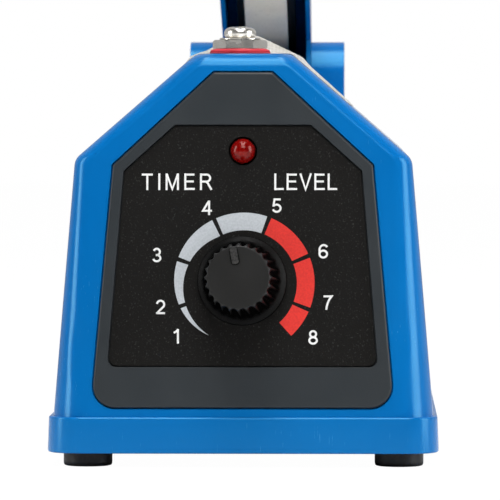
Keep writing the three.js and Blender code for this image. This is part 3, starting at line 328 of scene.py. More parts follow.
def make(name, shape, place=MACHINE):
    """A closed object from a shape, merged where its points meet, with its faces turned outward."""
    bm = bmesh.new()
    fill(bm, shape)
    bmesh.ops.remove_doubles(bm, verts=bm.verts, dist=1e-7)
    holes = [edge for edge in bm.edges if edge.is_boundary]
    if holes:
        bmesh.ops.holes_fill(bm, edges=holes)
    bmesh.ops.recalc_face_normals(bm, faces=bm.faces)
    return close(bm, name, place)


def apply_modifiers(obj):
    """Keeps the mesh that the modifiers give and removes them."""
    bpy.context.view_layer.update()
    depsgraph = bpy.context.evaluated_depsgraph_get()
    mesh = bpy.data.meshes.new_from_object(obj.evaluated_get(depsgraph))
    obj.modifiers.clear()
    obj.data = mesh


def combine(target, operation, *tools):
    """Applies one boolean per tool and removes the tools."""
    for tool in tools:
        modifier = target.modifiers.new(operation, "BOOLEAN")
        modifier.operation = operation
        modifier.solver = "EXACT"
        modifier.object = tool
        apply_modifiers(target)
        bpy.data.objects.remove(tool)


def cutters(*shapes, place=MACHINE):
    """The tools for combine, one per shape."""
    return [make("cutter", shape, place) for shape in shapes]


def soften(obj, width=0, segments=2):
    """Rounds the sharp edges to a width in millimetres and shades the rest smooth."""
    if width:
        bevel = obj.modifiers.new("edges", "BEVEL")
        bevel.width = width * MM
        bevel.segments = segments
        bevel.limit_method = "ANGLE"
        bevel.angle_limit = BEVEL_ANGLE
        bevel.use_clamp_overlap = True
        apply_modifiers(obj)
    obj.data.shade_smooth()
    obj.data.set_sharp_from_angle(angle=CREASE_ANGLE)
    normals = obj.modifiers.new("normals", "WEIGHTED_NORMAL")
    normals.keep_sharp = True


def finish_piece(obj, body, slot, *nodes):
    """Puts a piece on its body, gives it the material of its slot and hides the CAD nodes it stands for."""
    if not obj.data.materials:
        obj.data.materials.append(MATERIALS[slot])
    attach(obj, body)
    if nodes:
        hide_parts(*nodes)


def tube(name, points, radius, sides, steps):
    """A round wire along a smooth path, as a mesh made from a bevelled curve."""
    curve = bpy.data.curves.new(name, "CURVE")
    curve.dimensions = "3D"
    curve.bevel_depth = radius * MM
    curve.bevel_resolution = sides // 4 - 1
    curve.use_fill_caps = True
    curve.resolution_u = steps
    spline = curve.splines.new("NURBS")
    spline.points.add(len(points) - 1)
    for point, target in zip(points, spline.points):
        target.co = (*(point * MM), 1)
    spline.use_endpoint_u = True
    spline.order_u = 4
    source = add_object(name + "_curve", curve)
    bpy.context.view_layer.update()
    mesh = bpy.data.meshes.new_from_object(source.evaluated_get(bpy.context.evaluated_depsgraph_get()))
    bpy.data.objects.remove(source)
    mesh.shade_smooth()
    return add_object(name, mesh, MACHINE)


# ---- materials

def add_node(tree, kind, inputs, output=0, **settings):
    """Adds a node, links or sets its inputs and gives back one of its outputs."""
    node = tree.nodes.new(kind)
    for key, value in settings.items():
        setattr(node, key, value)
    for key, value in inputs.items():
        if isinstance(value, bpy.types.NodeSocket):
            tree.links.new(value, node.inputs[key])
        else:
            node.inputs[key].default_value = value
    return node.outputs[output]


class Recipe:
    """A procedural material under construction, in the piece's own coordinates."""

    def __init__(self, name):
        self.material = bpy.data.materials.new(name)
        self.material.use_nodes = True
        self.tree = self.material.node_tree
        self.tree.nodes.clear()
        self.coordinates = self.tree.nodes.new("ShaderNodeTexCoord").outputs["Object"]
        self.shader = self.tree.nodes.new("ShaderNodeBsdfPrincipled")
        output = self.tree.nodes.new("ShaderNodeOutputMaterial")
        self.tree.links.new(self.shader.outputs["BSDF"], output.inputs["Surface"])

    def add(self, kind, inputs, output=0, **settings):
        return add_node(self.tree, kind, inputs, output, **settings)

    def noise(self, size, detail=2.0):
        """Noise with blobs of about this size in millimetres."""
        inputs = {"Vector": self.coordinates, "Scale": 1 / (size * MM), "Detail": detail}
        return self.add("ShaderNodeTexNoise", inputs)

    def stretched_noise(self, x, y, z, turn=0, detail=3.0):
        """Noise with its own scale, in blobs per metre, along each axis, and turned about Y."""
        stretch = {"Vector": self.coordinates, "Scale": (x, y, z), "Rotation": (0, turn, 0)}
        vector = self.add("ShaderNodeMapping", stretch)
        return self.add("ShaderNodeTexNoise", {"Vector": vector, "Scale": 1.0, "Detail": detail})

    def bands(self, scale, distortion, direction, detail=2.0):
        """Even bands across an axis."""
        inputs = {"Vector": self.coordinates, "Scale": scale, "Distortion": distortion, "Detail": detail}
        return self.add("ShaderNodeTexWave", inputs, output=1, bands_direction=direction)

    def ramp(self, value, low, high, dark=0.0, light=1.0):
        """The value stretched from between low and high to between dark and light, and held there."""
        inputs = {"Value": value, "From Min": low, "From Max": high, "To Min": dark, "To Max": light}
        return self.add("ShaderNodeMapRange", inputs, clamp=True)

    def maths(self, operation, a, b):
        return self.add("ShaderNodeMath", {0: a, 1: b}, operation=operation)

    def blend(self, share, first, second):
        """The first colour where the share is 0 and the second where it is 1."""
        ends = [end if isinstance(end, bpy.types.NodeSocket) else (*end, 1) for end in (first, second)]
        return self.add("ShaderNodeMix", {0: share, 6: ends[0], 7: ends[1]}, output=2, data_type="RGBA")

    def dimple(self, x, z, half_width, half_height):
        """A smooth oval mark on the casing's front wall, 1 in its middle and 0 outside it, in millimetres."""
        reaches = Vector((half_width, DIMPLE_REACH, half_height))
        middle = Vector((x, -RIM["half_length"], z))
        inputs = {
            "Vector": self.coordinates,
            "Scale": [1 / (reach * MM) for reach in reaches],
            "Location": [-at / reach for at, reach in zip(middle, reaches)],
        }
        vector = self.add("ShaderNodeMapping", inputs)
        spot = self.add("ShaderNodeTexGradient", {"Vector": vector}, gradient_type="SPHERICAL")
        return self.add("ShaderNodeMapRange", {"Value": spot}, interpolation_type="SMOOTHSTEP")

    def bump(self, height, depth, before=None):
        """A bump of this depth in millimetres over an earlier one."""
        inputs = {"Height": height, "Distance": depth * MM}
        if before is not None:
            inputs["Normal"] = before
        return self.add("ShaderNodeBump", inputs)

    def scratches(self, turn, amount):
        """Rare thin lines that run at an angle, 1 on a scratch and 0 elsewhere."""
        fine = self.stretched_noise(5200, 5200, 110, turn)
        patches = self.ramp(self.noise(14), 0.5, 0.62)
        lines = self.ramp(fine, 1 - amount, 1 - amount + 0.03)
        return self.maths("MULTIPLY", lines, patches)

    def set(self, color, roughness, normal=None, **others):
        """Sets the shader's inputs, named with underscores for spaces, and gives back the material."""
        inputs = {"Base Color": color, "Roughness": roughness, **others}
        if normal is not None:
            inputs["Normal"] = normal
        for key, value in inputs.items():
            socket = self.shader.inputs[key.replace("_", " ")]
            if isinstance(value, bpy.types.NodeSocket):
                self.tree.links.new(value, socket)
            elif isinstance(value, tuple):
                socket.default_value = (*value, 1)
            else:
                socket.default_value = value
        return self.material


def moulded_plastic(
    name, color, shade, roughness, grain_size, grain_depth, marks=0.25, specular=0.5, reach=0,
):
    """Injection-moulded plastic: slight colour drift, a fine grain and scuffs that dull the gloss.

    With a reach in millimetres, places sheltered by other surfaces within it get painted shade: their colour
    is darkened to near black and their gloss is taken away.
    """
    r = Recipe(name)
    drift = r.ramp(r.noise(28, 3), 0.35, 0.65)
    scuffs = r.maths("MAXIMUM", r.scratches(0.5, 0.3), r.scratches(-0.7, 0.28))
    base = r.blend(drift, color, shade)
    wear_and_painted_shade = r.blend(r.maths("MULTIPLY", scuffs, marks), base, tuple(min(1, c * 1.6 + 0.03) for c in color))
    smudges = r.ramp(r.noise(9, 5), 0.35, 0.7, roughness, roughness + 0.1)
    rough = r.maths("ADD", smudges, r.maths("MULTIPLY", scuffs, 0.15))
    grain = r.bump(r.noise(grain_size, 3), grain_depth)
    normal = r.bump(scuffs, 0.01, grain)
    if reach:
        # painted shade: ambient occlusion within the reach darkens the colour to near black and lowers the
        # gloss
        open_sky = r.add("ShaderNodeAmbientOcclusion", {"Distance": reach * MM}, output=1)
        wear_and_painted_shade = r.blend(r.ramp(open_sky, 0.85, 0.99), (0.0015, 0.0015, 0.0015), wear_and_painted_shade)
        specular = r.ramp(open_sky, 0.85, 0.99, 0.0, specular)
    return r.set(wear_and_painted_shade, rough, normal, Specular_IOR_Level=specular)


def blue_abs(name):
    """Glossy deep blue with a slight orange peel, slow waves from moulding and a few thin scratches."""
    r = Recipe(name)
    drift = r.ramp(r.noise(40, 2), 0.3, 0.7)
    base = r.blend(drift, (0.001, 0.128, 0.405), (0.002, 0.142, 0.43))
    marks = r.maths("MAXIMUM", r.scratches(0.35, 0.3), r.scratches(-0.9, 0.29))
    color = r.blend(r.maths("MULTIPLY", marks, 0.3), base, (0.15, 0.4, 0.7))
    rough = r.maths("ADD", r.ramp(r.noise(12, 4), 0.3, 0.7, 0.17, 0.25), r.maths("MULTIPLY", marks, 0.2))
    peel = r.bump(r.noise(2.2, 2), 0.006)
    waves = r.bump(r.noise(22, 1), 0.08, peel)
    sinks = r.bump(r.maths("ADD", r.dimple(-33.3, 23, 2.6, 9), r.dimple(32, 25, 2.4, 10)), -0.16, waves)
    return r.set(color, rough, sinks, Specular_IOR_Level=0.55, Specular_Tint=(0.25, 0.8, 1.0))


def dial_black(name):
    """Textured label sheet: near black with fine lighter and brownish specks."""
    r = Recipe(name)
    specks = r.ramp(r.noise(0.35, 2), 0.6, 0.8)
    tint = r.blend(r.noise(0.9), (0.05, 0.045, 0.035), (0.03, 0.035, 0.04))
    color = r.blend(specks, (0.006, 0.0056, 0.005), tint)
    rough = r.ramp(r.noise(6, 3), 0.3, 0.7, 0.5, 0.62)
    return r.set(color, rough, r.bump(r.noise(0.3, 3), 0.035), Specular_IOR_Level=0.12)


def ink(name, color, shade):
    """Printed ink, a little uneven."""
    r = Recipe(name)
    patches = r.ramp(r.noise(0.4, 3), 0.35, 0.7)
    normal = r.bump(r.noise(0.3, 3), 0.02)
    return r.set(r.blend(patches, color, shade), 0.5, normal, Specular_IOR_Level=0.3)


def lamp_lens(name):
    """Dark red lens, clearer in some places than in others."""
    r = Recipe(name)
    core = r.ramp(r.noise(2.4, 2), 0.35, 0.65)
    color = r.blend(core, (0.15, 0.001, 0.001), (0.24, 0.002, 0.001))
    rough = r.ramp(r.noise(1.2, 2), 0.3, 0.7, 0.14, 0.2)
    return r.set(
        color, rough, Specular_IOR_Level=0.42, Specular_Tint=(1.0, 0.6, 0.55), Transmission_Weight=0.1,
        Subsurface_Weight=0.1, Subsurface_Scale=MM,
    )


def metal(name, color, shade, roughness, streak, wear=0.5):
    """Plated metal with drawn streaks, cloudy patches and small dull specks."""
    r = Recipe(name)
    streaks = r.stretched_noise(streak, streak * 0.06, streak)
    clouds = r.noise(3.5, 4)
    specks = r.ramp(r.noise(0.5, 2), 0.62, 0.72)
    base = r.blend(r.ramp(clouds, 0.35, 0.65), color, shade)
    tinted = r.blend(r.maths("MULTIPLY", specks, wear), base, tuple(c * 0.55 for c in shade))
    dull = r.maths("MULTIPLY", specks, wear * 0.4)
    rough = r.maths("ADD", r.ramp(streaks, 0.3, 0.7, roughness, roughness + 0.14), dull)
    normal = r.bump(streaks, 0.015 * wear)
    return r.set(tinted, rough, normal, Metallic=1.0)


def rubber(name, color, shade, roughness=0.42):
    """Matt rubber or fibre with a grey bloom and specks of dust."""
    r = Recipe(name)
    bloom = r.ramp(r.noise(3.0, 5), 0.4, 0.75)
    dust = r.ramp(r.noise(0.6, 3), 0.62, 0.8)
    base = r.blend(bloom, color, shade)
    dusty = r.blend(r.maths("MULTIPLY", dust, 0.3), base, tuple(min(1, c * 2.5 + 0.02) for c in shade))
    rough = r.ramp(bloom, 0, 1, roughness, roughness + 0.15)
    return r.set(dusty, rough, r.bump(r.noise(0.35, 3), 0.02), Specular_IOR_Level=0.35)


def woven_cloth(name):
    """Coated glass cloth: a fine plain weave under a thin slippery skin, with brownish stains."""
    r = Recipe(name)
    threads = r.maths("MULTIPLY", r.bands(420, 0.6, "X", 1), r.bands(420, 0.6, "Y", 1))
    stains = r.ramp(r.noise(11, 4), 0.45, 0.75)
    base = r.blend(stains, (0.56, 0.55, 0.51), (0.45, 0.42, 0.36))
    color = r.blend(r.maths("MULTIPLY", threads, 0.3), base, (0.24, 0.225, 0.2))
    creases = r.bump(r.noise(9, 2), 0.25)
    normal = r.bump(threads, 0.05, creases)
    return r.set(color, r.ramp(threads, 0, 1, 0.42, 0.6), normal, Sheen_Weight=0.15)


def silicone(name):
    """Pale heat-proof rubber with worn patches and small pits."""
    r = Recipe(name)
    wear = r.ramp(r.noise(7, 5), 0.4, 0.75)
    pits = r.ramp(r.noise(0.7, 2), 0.6, 0.72)
    base = r.blend(wear, (0.9, 0.85, 0.76), (0.8, 0.75, 0.67))
    color = r.blend(r.maths("MULTIPLY", pits, 0.35), base, (0.45, 0.45, 0.42))
    normal = r.bump(r.noise(0.5, 3), 0.03)
    return r.set(color, 0.7, normal, Subsurface_Weight=0.08, Subsurface_Scale=MM)


def laminations(name):
    """Stacked steel sheets: thin dark seams across the stack under varnish."""
    r = Recipe(name)
    seams = r.bands(320, 0.2, "Y")
    rust = r.ramp(r.noise(4, 5), 0.55, 0.75)
    base = r.blend(seams, (0.16, 0.16, 0.165), (0.05, 0.05, 0.052))
    color = r.blend(r.maths("MULTIPLY", rust, 0.5), base, (0.16, 0.075, 0.03))
    return r.set(color, 0.45, r.bump(seams, 0.08), Metallic=0.6)


def winding(name):
    """Amber tape over round turns of copper wire."""
    r = Recipe(name)
    turns = r.bands(260, 0.4, "Z")
    base = r.blend(turns, (0.62, 0.32, 0.07), (0.33, 0.13, 0.03))
    creases = r.bump(r.noise(5, 3), 0.2)
    return r.set(base, 0.3, r.bump(turns, 0.12, creases), Coat_Weight=0.5, Coat_Roughness=0.1)


def circuit_board(name):
    """Green solder mask over copper tracks on a fine square pattern."""
    r = Recipe(name)
    grid = {"Vector": r.coordinates, "Scale": 130.0, "Mortar Size": 0.09}
    tracks = r.add("ShaderNodeTexBrick", grid, output=1)
    base = r.blend(tracks, (0.012, 0.1, 0.035), (0.03, 0.2, 0.07))
    color = r.blend(r.maths("MULTIPLY", r.noise(0.8), 0.2), base, (0.05, 0.16, 0.06))
    return r.set(color, 0.3, r.bump(tracks, 0.04), Coat_Weight=0.4)


def phenolic(name):
    """Brown laminate with paper layers and darker fibres."""
    r = Recipe(name)
    layers = r.stretched_noise(120, 120, 4200, detail=4)
    fibres = r.stretched_noise(1500, 160, 1500, 0.4, 4)
    base = r.blend(layers, (0.13, 0.055, 0.022), (0.07, 0.03, 0.012))
    color = r.blend(r.maths("MULTIPLY", fibres, 0.4), base, (0.2, 0.1, 0.045))
    return r.set(color, 0.5, r.bump(fibres, 0.02))


def film(name, color, shade):
    """Glossy tape with small bubbles and creases."""
    r = Recipe(name)
    bubbles = r.ramp(r.noise(1.4, 3), 0.55, 0.75)
    base = r.blend(bubbles, color, shade)
    return r.set(base, 0.25, r.bump(bubbles, 0.04), Coat_Weight=0.4, Coat_Roughness=0.1)


def sheath(name, color, shade):
    """Flexible cable sheath: satin, uneven and with dusty specks."""
    r = Recipe(name)
    pull = r.noise(2.2, 4)
    dust = r.ramp(r.noise(0.5, 3), 0.6, 0.8)
    base = r.blend(pull, color, shade)
    dusty = r.blend(r.maths("MULTIPLY", dust, 0.25), base, tuple(min(1, c * 2 + 0.03) for c in shade))
    return r.set(dusty, r.ramp(pull, 0.3, 0.7, 0.38, 0.5), r.bump(r.noise(1.2, 3), 0.03))


def make_materials():
    """A material for each slot of the record, and the knob's own."""
    recipes = {
        "blue_abs": (blue_abs,),
        "slate_abs": (
            moulded_plastic, (0.017, 0.022, 0.026), (0.021, 0.026, 0.03), 0.4, 0.5, 0.012, 0.3, 0.35,
        ),
        "dial_black": (dial_black,),
        # the knob's plastic gets painted shade: darkened to near black where its skirt and flutes are
        # sheltered within 14 mm
        "knob_plastic": (
            moulded_plastic, (0.0065, 0.0065, 0.0062), (0.0095, 0.0095, 0.009), 0.42, 0.6, 0.02, 0.3, 0.3, 14,
        ),
        "black_plastic": (
            moulded_plastic, (0.0055, 0.0055, 0.0052), (0.0085, 0.0085, 0.008), 0.42, 0.6, 0.02, 0.3, 0.2,
        ),
        "black_rubber": (rubber, (0.009, 0.009, 0.009), (0.018, 0.016, 0.015)),
        "grey_silicone": (silicone,),
        "red_lens": (lamp_lens,),
        "red_fibre": (rubber, (0.6, 0.03, 0.05), (0.48, 0.02, 0.035), 0.5),
        "cream_cloth": (woven_cloth,),
        "nickel": (metal, (0.86, 0.84, 0.79), (0.8, 0.77, 0.71), 0.2, 260, 0.05),
        "zinc_steel": (metal, (0.5, 0.51, 0.53), (0.42, 0.43, 0.46), 0.32, 900),
        "spring_steel": (metal, (0.46, 0.46, 0.47), (0.36, 0.36, 0.37), 0.28, 1500),
        "lamination_steel": (laminations,),
        "copper_winding": (winding,),
        "brass": (metal, (0.66, 0.49, 0.22), (0.52, 0.36, 0.14), 0.26, 1400),
        "phenolic_brown": (phenolic,),
        "amber_tape": (film, (0.55, 0.3, 0.05), (0.68, 0.42, 0.1)),
        "board_green": (circuit_board,),
        "relay_blue": (moulded_plastic, (0.02, 0.11, 0.36), (0.018, 0.095, 0.32), 0.3, 0.8, 0.02),
        "wire_red": (sheath, (0.42, 0.02, 0.02), (0.34, 0.014, 0.014)),
        "lead_pvc": (sheath, (0.01, 0.01, 0.01), (0.015, 0.015, 0.015)),
    }
    return {name: recipe(name, *values) for name, (recipe, *values) in recipes.items()}


MATERIALS = make_materials()


# ---- casing

def end_half_length(z):
    """Half the body's length at a height, between its leaning ends."""
    return RIM["half_length"] - LEDGE - (z - RIM["high"]) * math.tan(END_LEAN)


def corner_radius_at(z):
    """Radius of the body's upright corners, which are rounder at the foot than at the shoulder."""
    share = max(0, min(1, (z - RIM["high"]) / (SHOULDER_Z - RIM["high"])))
    return FOOT_CORNER_RADIUS + (RIDGE_CORNER_RADIUS - FOOT_CORNER_RADIUS) * share


def house_rings(inset, start_z, fillet, steps):
    """Rings of the body's tapered house shape, inset on every face, from a height up to the ridge."""
    slope = (BODY_HALF_WIDTH - SHOULDER_HALF_WIDTH) / (SHOULDER_Z - RIM["high"])
    low_z = start_z - inset
    low_half = BODY_HALF_WIDTH + (RIM["high"] - low_z) * slope
    front = [
        (-low_half, low_z), (low_half, low_z), (SHOULDER_HALF_WIDTH, SHOULDER_Z), (TOP_HALF_WIDTH, TOP_Z),
        (-TOP_HALF_WIDTH, TOP_Z), (-SHOULDER_HALF_WIDTH, SHOULDER_Z),
    ]
    side = [
        (-end_half_length(low_z), low_z), (end_half_length(low_z), low_z),
        (end_half_length(TOP_Z), TOP_Z), (-end_half_length(TOP_Z), TOP_Z),
    ]
    front_outline = round_corners(inset_corners(front, inset), [0, 0, fillet, fillet, fillet, fillet], steps)
    side_outline = round_corners(inset_corners(side, inset), [0, 0, fillet, fillet], steps)
    heights = sorted({round(p.y, 3) for p in front_outline + side_outline})
    top = heights[-1]

    def reach(outline, z):
        if z < top:
            return half_extent_at(outline, z)
        return max(p.x for p in outline if abs(p.y - top) < 0.01)

    return [
        level_ring(reach(front_outline, z), reach(side_outline, z), corner_radius_at(z) - inset, z)
        for z in heights
    ]


def rim_rings():
    """The rim from its underside up over its rounded top edge to the foot of the body."""
    width, length, radius = RIM["half_width"], RIM["half_length"], RIM["radius"]
    rings = [
        level_ring(width - 0.4, length - 0.4, radius - 0.4, RIM["low"]),
        level_ring(width - 0.12, length - 0.12, radius - 0.12, RIM["low"] + 0.12),
        level_ring(width, length, radius, RIM["low"] + 0.4),
    ]
    for k in range(5):
        angle = math.pi / 2 * k / 4
        inward = 0.25 + 0.45 * (1 - math.cos(angle))
        z = RIM["high"] - 0.45 + 0.45 * math.sin(angle)
        rings.append(level_ring(width - inward, length - inward, radius - inward, z))
    return rings


def bezel_outline(inset):
    corners = [(-30.8, -25.8), (30.8, -25.8), (26.5, 23.7), (6, 42.7), (-6, 42.7), (-26.5, 23.7)]
    low = 4.5 - inset
    return round_corners(inset_corners(corners, inset), [low, low, 0.6, 0.6, 0.6, 0.6], 10)


def label_outline(inset):
    corners = [(-27.3, -17.3), (27.3, -17.3), (24.1, 22.4), (13.8, 31.7), (-13.8, 31.7), (-24.1, 22.4)]
    return round_corners(inset_corners(corners, inset), [1.7, 1.7, 0.4, 0.4, 0.4, 0.4], 8)


def ear_shape(side):
    front, rear = HINGE_Y - EAR["half_length"], HINGE_Y + EAR["half_length"]
    corners = rectangle(front, rear, EAR["root"], EAR["top"])
    outline = round_corners(corners, [0, 0, EAR["radius"], EAR["radius"]], 14)
    start, end = sorted((side * EAR["inner"], side * EAR["outer"]))
    return extrude(outline, start, end, "X")


def casing():
    """The moulded body on its rim, with ears for the hinge, hollow inside and open to the arm's tail."""
    rings = rim_rings() + house_rings(0, RIM["high"], BODY_FILLET, 8)
    shell = make("casing", loft(rings))
    combine(shell, "UNION", *cutters(ear_shape(-1), ear_shape(1)))
    openings = cutters(
        loft(house_rings(WALL, RIM["low"] - 1, 1, 4)),
        block(-EAR["inner"], EAR["inner"], WELL["front"], WELL["rear"], WELL["floor"], EAR["top"] + 1),
        rod(HINGE_Y, HINGE_Z, PIN_BORE, -21, 21, "X"),
        rod(LEAD_X, LEAD_Z, 5.6, 138, 151, "Y"),
        rod(TERMINAL_X, TERMINAL_Y, 3.2, 70, 90, "Z"),
        block(-2, 2, 87.5, 91.5, 70, 89),
    )
    combine(shell, "DIFFERENCE", *openings)
    seat = extrude(bezel_outline(-0.3), -1, 1.2, "Y")
    window = extrude(bezel_outline(3), -1, 5, "Y")
    combine(shell, "DIFFERENCE", *cutters(seat, window, place=PANEL))
    combine(shell, "UNION", *cutters(rod(0, ROD_Y, 4.2, 52, 60, "Z")))
    combine(shell, "DIFFERENCE", *cutters(rod(0, ROD_Y, 2.3, 40, 70, "Z")))
    soften(shell, 0.25)
    finish_piece(shell, "base", "blue_abs", "body_shell")


# ---- control panel

def panel_holes():
    """Bores through the panel for the lamp and for the knob's shaft."""
    return rod(0, LAMP_HEIGHT, LAMP_BORE, -2, 4, "Y"), rod(0, 0, SHAFT_BORE, -2, 4, "Y")


def bezel():
    """The grey surround with its rounded edge and a pocket for the label."""
    rings = [upright_ring(bezel_outline(0), 0.9)]
    for k in range(5, -1, -1):
        angle = math.pi / 2 * k / 5
        outline = bezel_outline(0.55 * (1 - math.sin(angle)))
        rings.append(upright_ring(outline, -0.4 + 0.5 * (1 - math.cos(angle))))
    face = make("bezel", loft(rings), PANEL)
    combine(face, "UNION", *cutters(extrude(bezel_outline(3.3), 0.5, 2.4, "Y"), place=PANEL))
    pocket = extrude(label_outline(-0.25), -2, 0.8, "Y")
    combine(face, "DIFFERENCE", *cutters(pocket, *panel_holes(), place=PANEL))
    soften(face, 0.2, 3)
    finish_piece(face, "base", "slate_abs", "control_bezel")


def label_sheet():
    sheet = make("label_sheet", extrude(label_outline(0), LABEL_FRONT, 0.5, "Y"), PANEL)
    combine(sheet, "DIFFERENCE", *cutters(*panel_holes(), place=PANEL))
    soften(sheet, 0.08)
    finish_piece(sheet, "base", "dial_black", "dial_plate")


def band_shape(start, end):
    """A segment of the dial's ring between two angles in degrees; the scale's low end tapers to a point."""
    steps = max(6, int(abs(end - start) / 2))
    outer, inner = [], []
    for k in range(steps + 1):
        degrees = start + (end - start) * k / steps
        fade = max(0.0, min(1.0, (degrees - 120) / 116))
        width = (DIAL_OUTER - DIAL_INNER) * (1 - fade) ** 0.9
        rim = DIAL_OUTER - 1.6 * fade ** 3
        angle = math.radians(degrees)
        direction = Vector((math.cos(angle), math.sin(angle)))
        outer.append(direction * rim)
        inner.append(direction * (rim - max(width, 0.03)))
    outline = outer + inner[::-1]
    return extrude([point + PRINT_SHIFT for point in outline], LABEL_FRONT - 0.02, LABEL_FRONT + 0.05, "Y")


def arc(x, z, radius_x, radius_z, start, end, steps=14):
    """Points along part of an ellipse between two angles in degrees."""
    angles = [math.radians(start + (end - start) * k / steps) for k in range(steps + 1)]
    return [(x + radius_x * math.cos(a), z + radius_z * math.sin(a)) for a in angles]


def glyphs():
    """Centre lines of the plain characters used on the dial, for capitals of height 1, with their widths."""
    stem = [(0.07, 0), (0.07, 1)]
    return {
        "1": (0.5, [[(0.12, 0.74), (0.27, 0.82), (0.38, 0.93), (0.41, 1.0)], [(0.41, 0), (0.41, 1)]]),
        "2": (0.68, [arc(0.33, 0.67, 0.25, 0.26, 170, -35) + [(0.09, 0.08), (0.1, 0.07), (0.64, 0.07)]]),
        "3": (0.66, [arc(0.31, 0.71, 0.21, 0.22, 160, -90) + arc(0.31, 0.28, 0.25, 0.215, 90, -165)]),
        "4": (0.7, [[(0.47, 0.98), (0.06, 0.3), (0.68, 0.3)], [(0.48, 0), (0.48, 1)]]),
        "5": (0.68, [[(0.6, 0.93), (0.17, 0.93), (0.1, 0.5)] + arc(0.32, 0.32, 0.27, 0.25, 135, -160)]),
        "6": (0.68, [
            arc(0.35, 0.31, 0.26, 0.24, 0, 360, 24), arc(0.38, 0.6, 0.29, 0.33, 35, 180) + [(0.09, 0.31)],
        ]),
        "7": (0.66, [[(0.05, 0.93), (0.6, 0.93), (0.46, 0.74), (0.34, 0.48), (0.27, 0.22), (0.24, 0)]]),
        "8": (0.68, [arc(0.34, 0.725, 0.21, 0.205, 0, 360, 24), arc(0.34, 0.29, 0.26, 0.22, 0, 360, 24)]),
        "T": (0.7, [[(0.02, 0.93), (0.68, 0.93)], [(0.35, 0), (0.35, 0.93)]]),
        "I": (0.14, [stem]),
        "M": (0.82, [stem, [(0.75, 0), (0.75, 1)], [(0.08, 0.96), (0.41, 0.06), (0.74, 0.96)]]),
        "E": (0.64, [
            stem, [(0.07, 0.93), (0.62, 0.93)], [(0.07, 0.52), (0.58, 0.52)], [(0.07, 0.07), (0.64, 0.07)],
        ]),
        "R": (0.72, [
            stem,
            [(0.07, 0.93), (0.4, 0.93)] + arc(0.4, 0.72, 0.22, 0.21, 90, -90) + [(0.07, 0.51)],
            [(0.36, 0.51), (0.48, 0.42), (0.7, 0.01)],
        ]),
        "L": (0.58, [stem, [(0.07, 0.07), (0.58, 0.07)]]),
        "V": (0.7, [[(0.03, 1), (0.35, 0.04), (0.67, 1)]]),
    }


def stroke_shape(path, width, depth):
    """A flat ribbon of even width along a path of points in the label's plane, with mitred bends."""
    points = [Vector(point) for point in path]
    clean = points[:1] + [b for a, b in zip(points, points[1:]) if (b - a).length > 1e-4]
    vertices, faces = [], []
    for i, point in enumerate(clean):
        before = (point - clean[i - 1]).normalized() if i else (clean[1] - point).normalized()
        after = (clean[i + 1] - point).normalized() if i + 1 < len(clean) else before
        if (clean[0] - clean[-1]).length < 1e-4 and i in (0, len(clean) - 1):
            before, after = (clean[-1] - clean[-2]).normalized(), (clean[1] - clean[0]).normalized()
        along = (before + after).normalized()
        across = Vector((-along.y, along.x)) * width / 2 / max(0.45, along.dot(before))
        vertices.extend(Vector((q.x, depth, q.y)) for q in (point + across, point - across))
        if i:
            faces.append((2 * i - 2, 2 * i - 1, 2 * i + 1, 2 * i))
    return vertices, faces


def lettering(text, height, x, z, gap):
    """The ribbons of printed characters with their middle at (x, z) and capitals of this height."""
    alphabet = glyphs()
    total = sum(alphabet[letter][0] for letter in text) + gap * (len(text) - 1)
    start = x - total * height / 2
    shapes = []
    for letter in text:
        width, paths = alphabet[letter]
        for path in paths:
            placed = [(start + px * height, z + (pz - 0.5) * height) for px, pz in path]
            depth = LABEL_FRONT - 0.02 - 0.002 * (len(shapes) % 4)
            shapes.append(stroke_shape(placed, PRINT_STROKE, depth))
        start += (width + gap) * height
    return shapes


def dial_print():
    """Ring, numbers and two plain words printed on the label."""
    gap = 1.8
    stops = [236, 200, 160, 115, 69, 23, -22, -48]
    numbers = [
        (218, 17.6), (196, 17.6), (162, 18.6), (116, 17.1), (67, 17.2), (22, 17.4), (-13, 17.5), (-38, 17.9),
    ]
    white, grey, red = range(3)
    bm = bmesh.new()
    for k in range(7):
        start = stops[k] if k == 0 else stops[k] - gap
        end = stops[k + 1] if k == 6 else stops[k + 1] + gap
        fill(bm, band_shape(start, end), grey if k < 4 else red)
    shapes = []
    for k, (degrees, radius) in enumerate(numbers):
        angle = math.radians(degrees)
        spot = Vector((math.cos(angle), math.sin(angle))) * radius + PRINT_SHIFT
        shapes += lettering(str(k + 1), NUMBER_HEIGHT, spot.x, spot.y, 0)
    shapes += lettering("TIMER", WORD_HEIGHT, -13.5, WORD_Z, 0.3)
    shapes += lettering("LEVEL", WORD_HEIGHT, 12.8, WORD_Z, 0.16)
    for shape in shapes:
        fill(bm, shape, white)
    print_sheet = close(bm, "dial_print", PANEL)
    inks = print_sheet.data.materials
    inks.append(ink("white_ink", (0.83, 0.83, 0.82), (0.7, 0.7, 0.69)))
    inks.append(ink("grey_ink", (0.52, 0.55, 0.58), (0.44, 0.47, 0.5)))
    inks.append(ink("red_ink", (0.72, 0.035, 0.025), (0.6, 0.028, 0.022)))
    finish_piece(print_sheet, "base", "dial_black")


def lamp():
    """A round lamp with a half-ball lens."""
    rows = [(0.001, -5.6), (LAMP_RADIUS, -5.6)]
    for k in range(14):
        angle = math.pi / 2 * k / 14
        rows.append((LAMP_RADIUS * math.cos(angle), LAMP_RADIUS * math.sin(angle) - 0.3))
    shape = turned(rows + [(0.001, LAMP_RADIUS - 0.3)])
    outward = Matrix.Translation((0, 0, LAMP_HEIGHT)) @ Matrix.Rotation(math.pi / 2, 4, "X")
    lens = make("lamp_lens", moved(shape, outward), PANEL)
    soften(lens)
    finish_piece(lens, "base", "red_lens", "indicator_lamp")


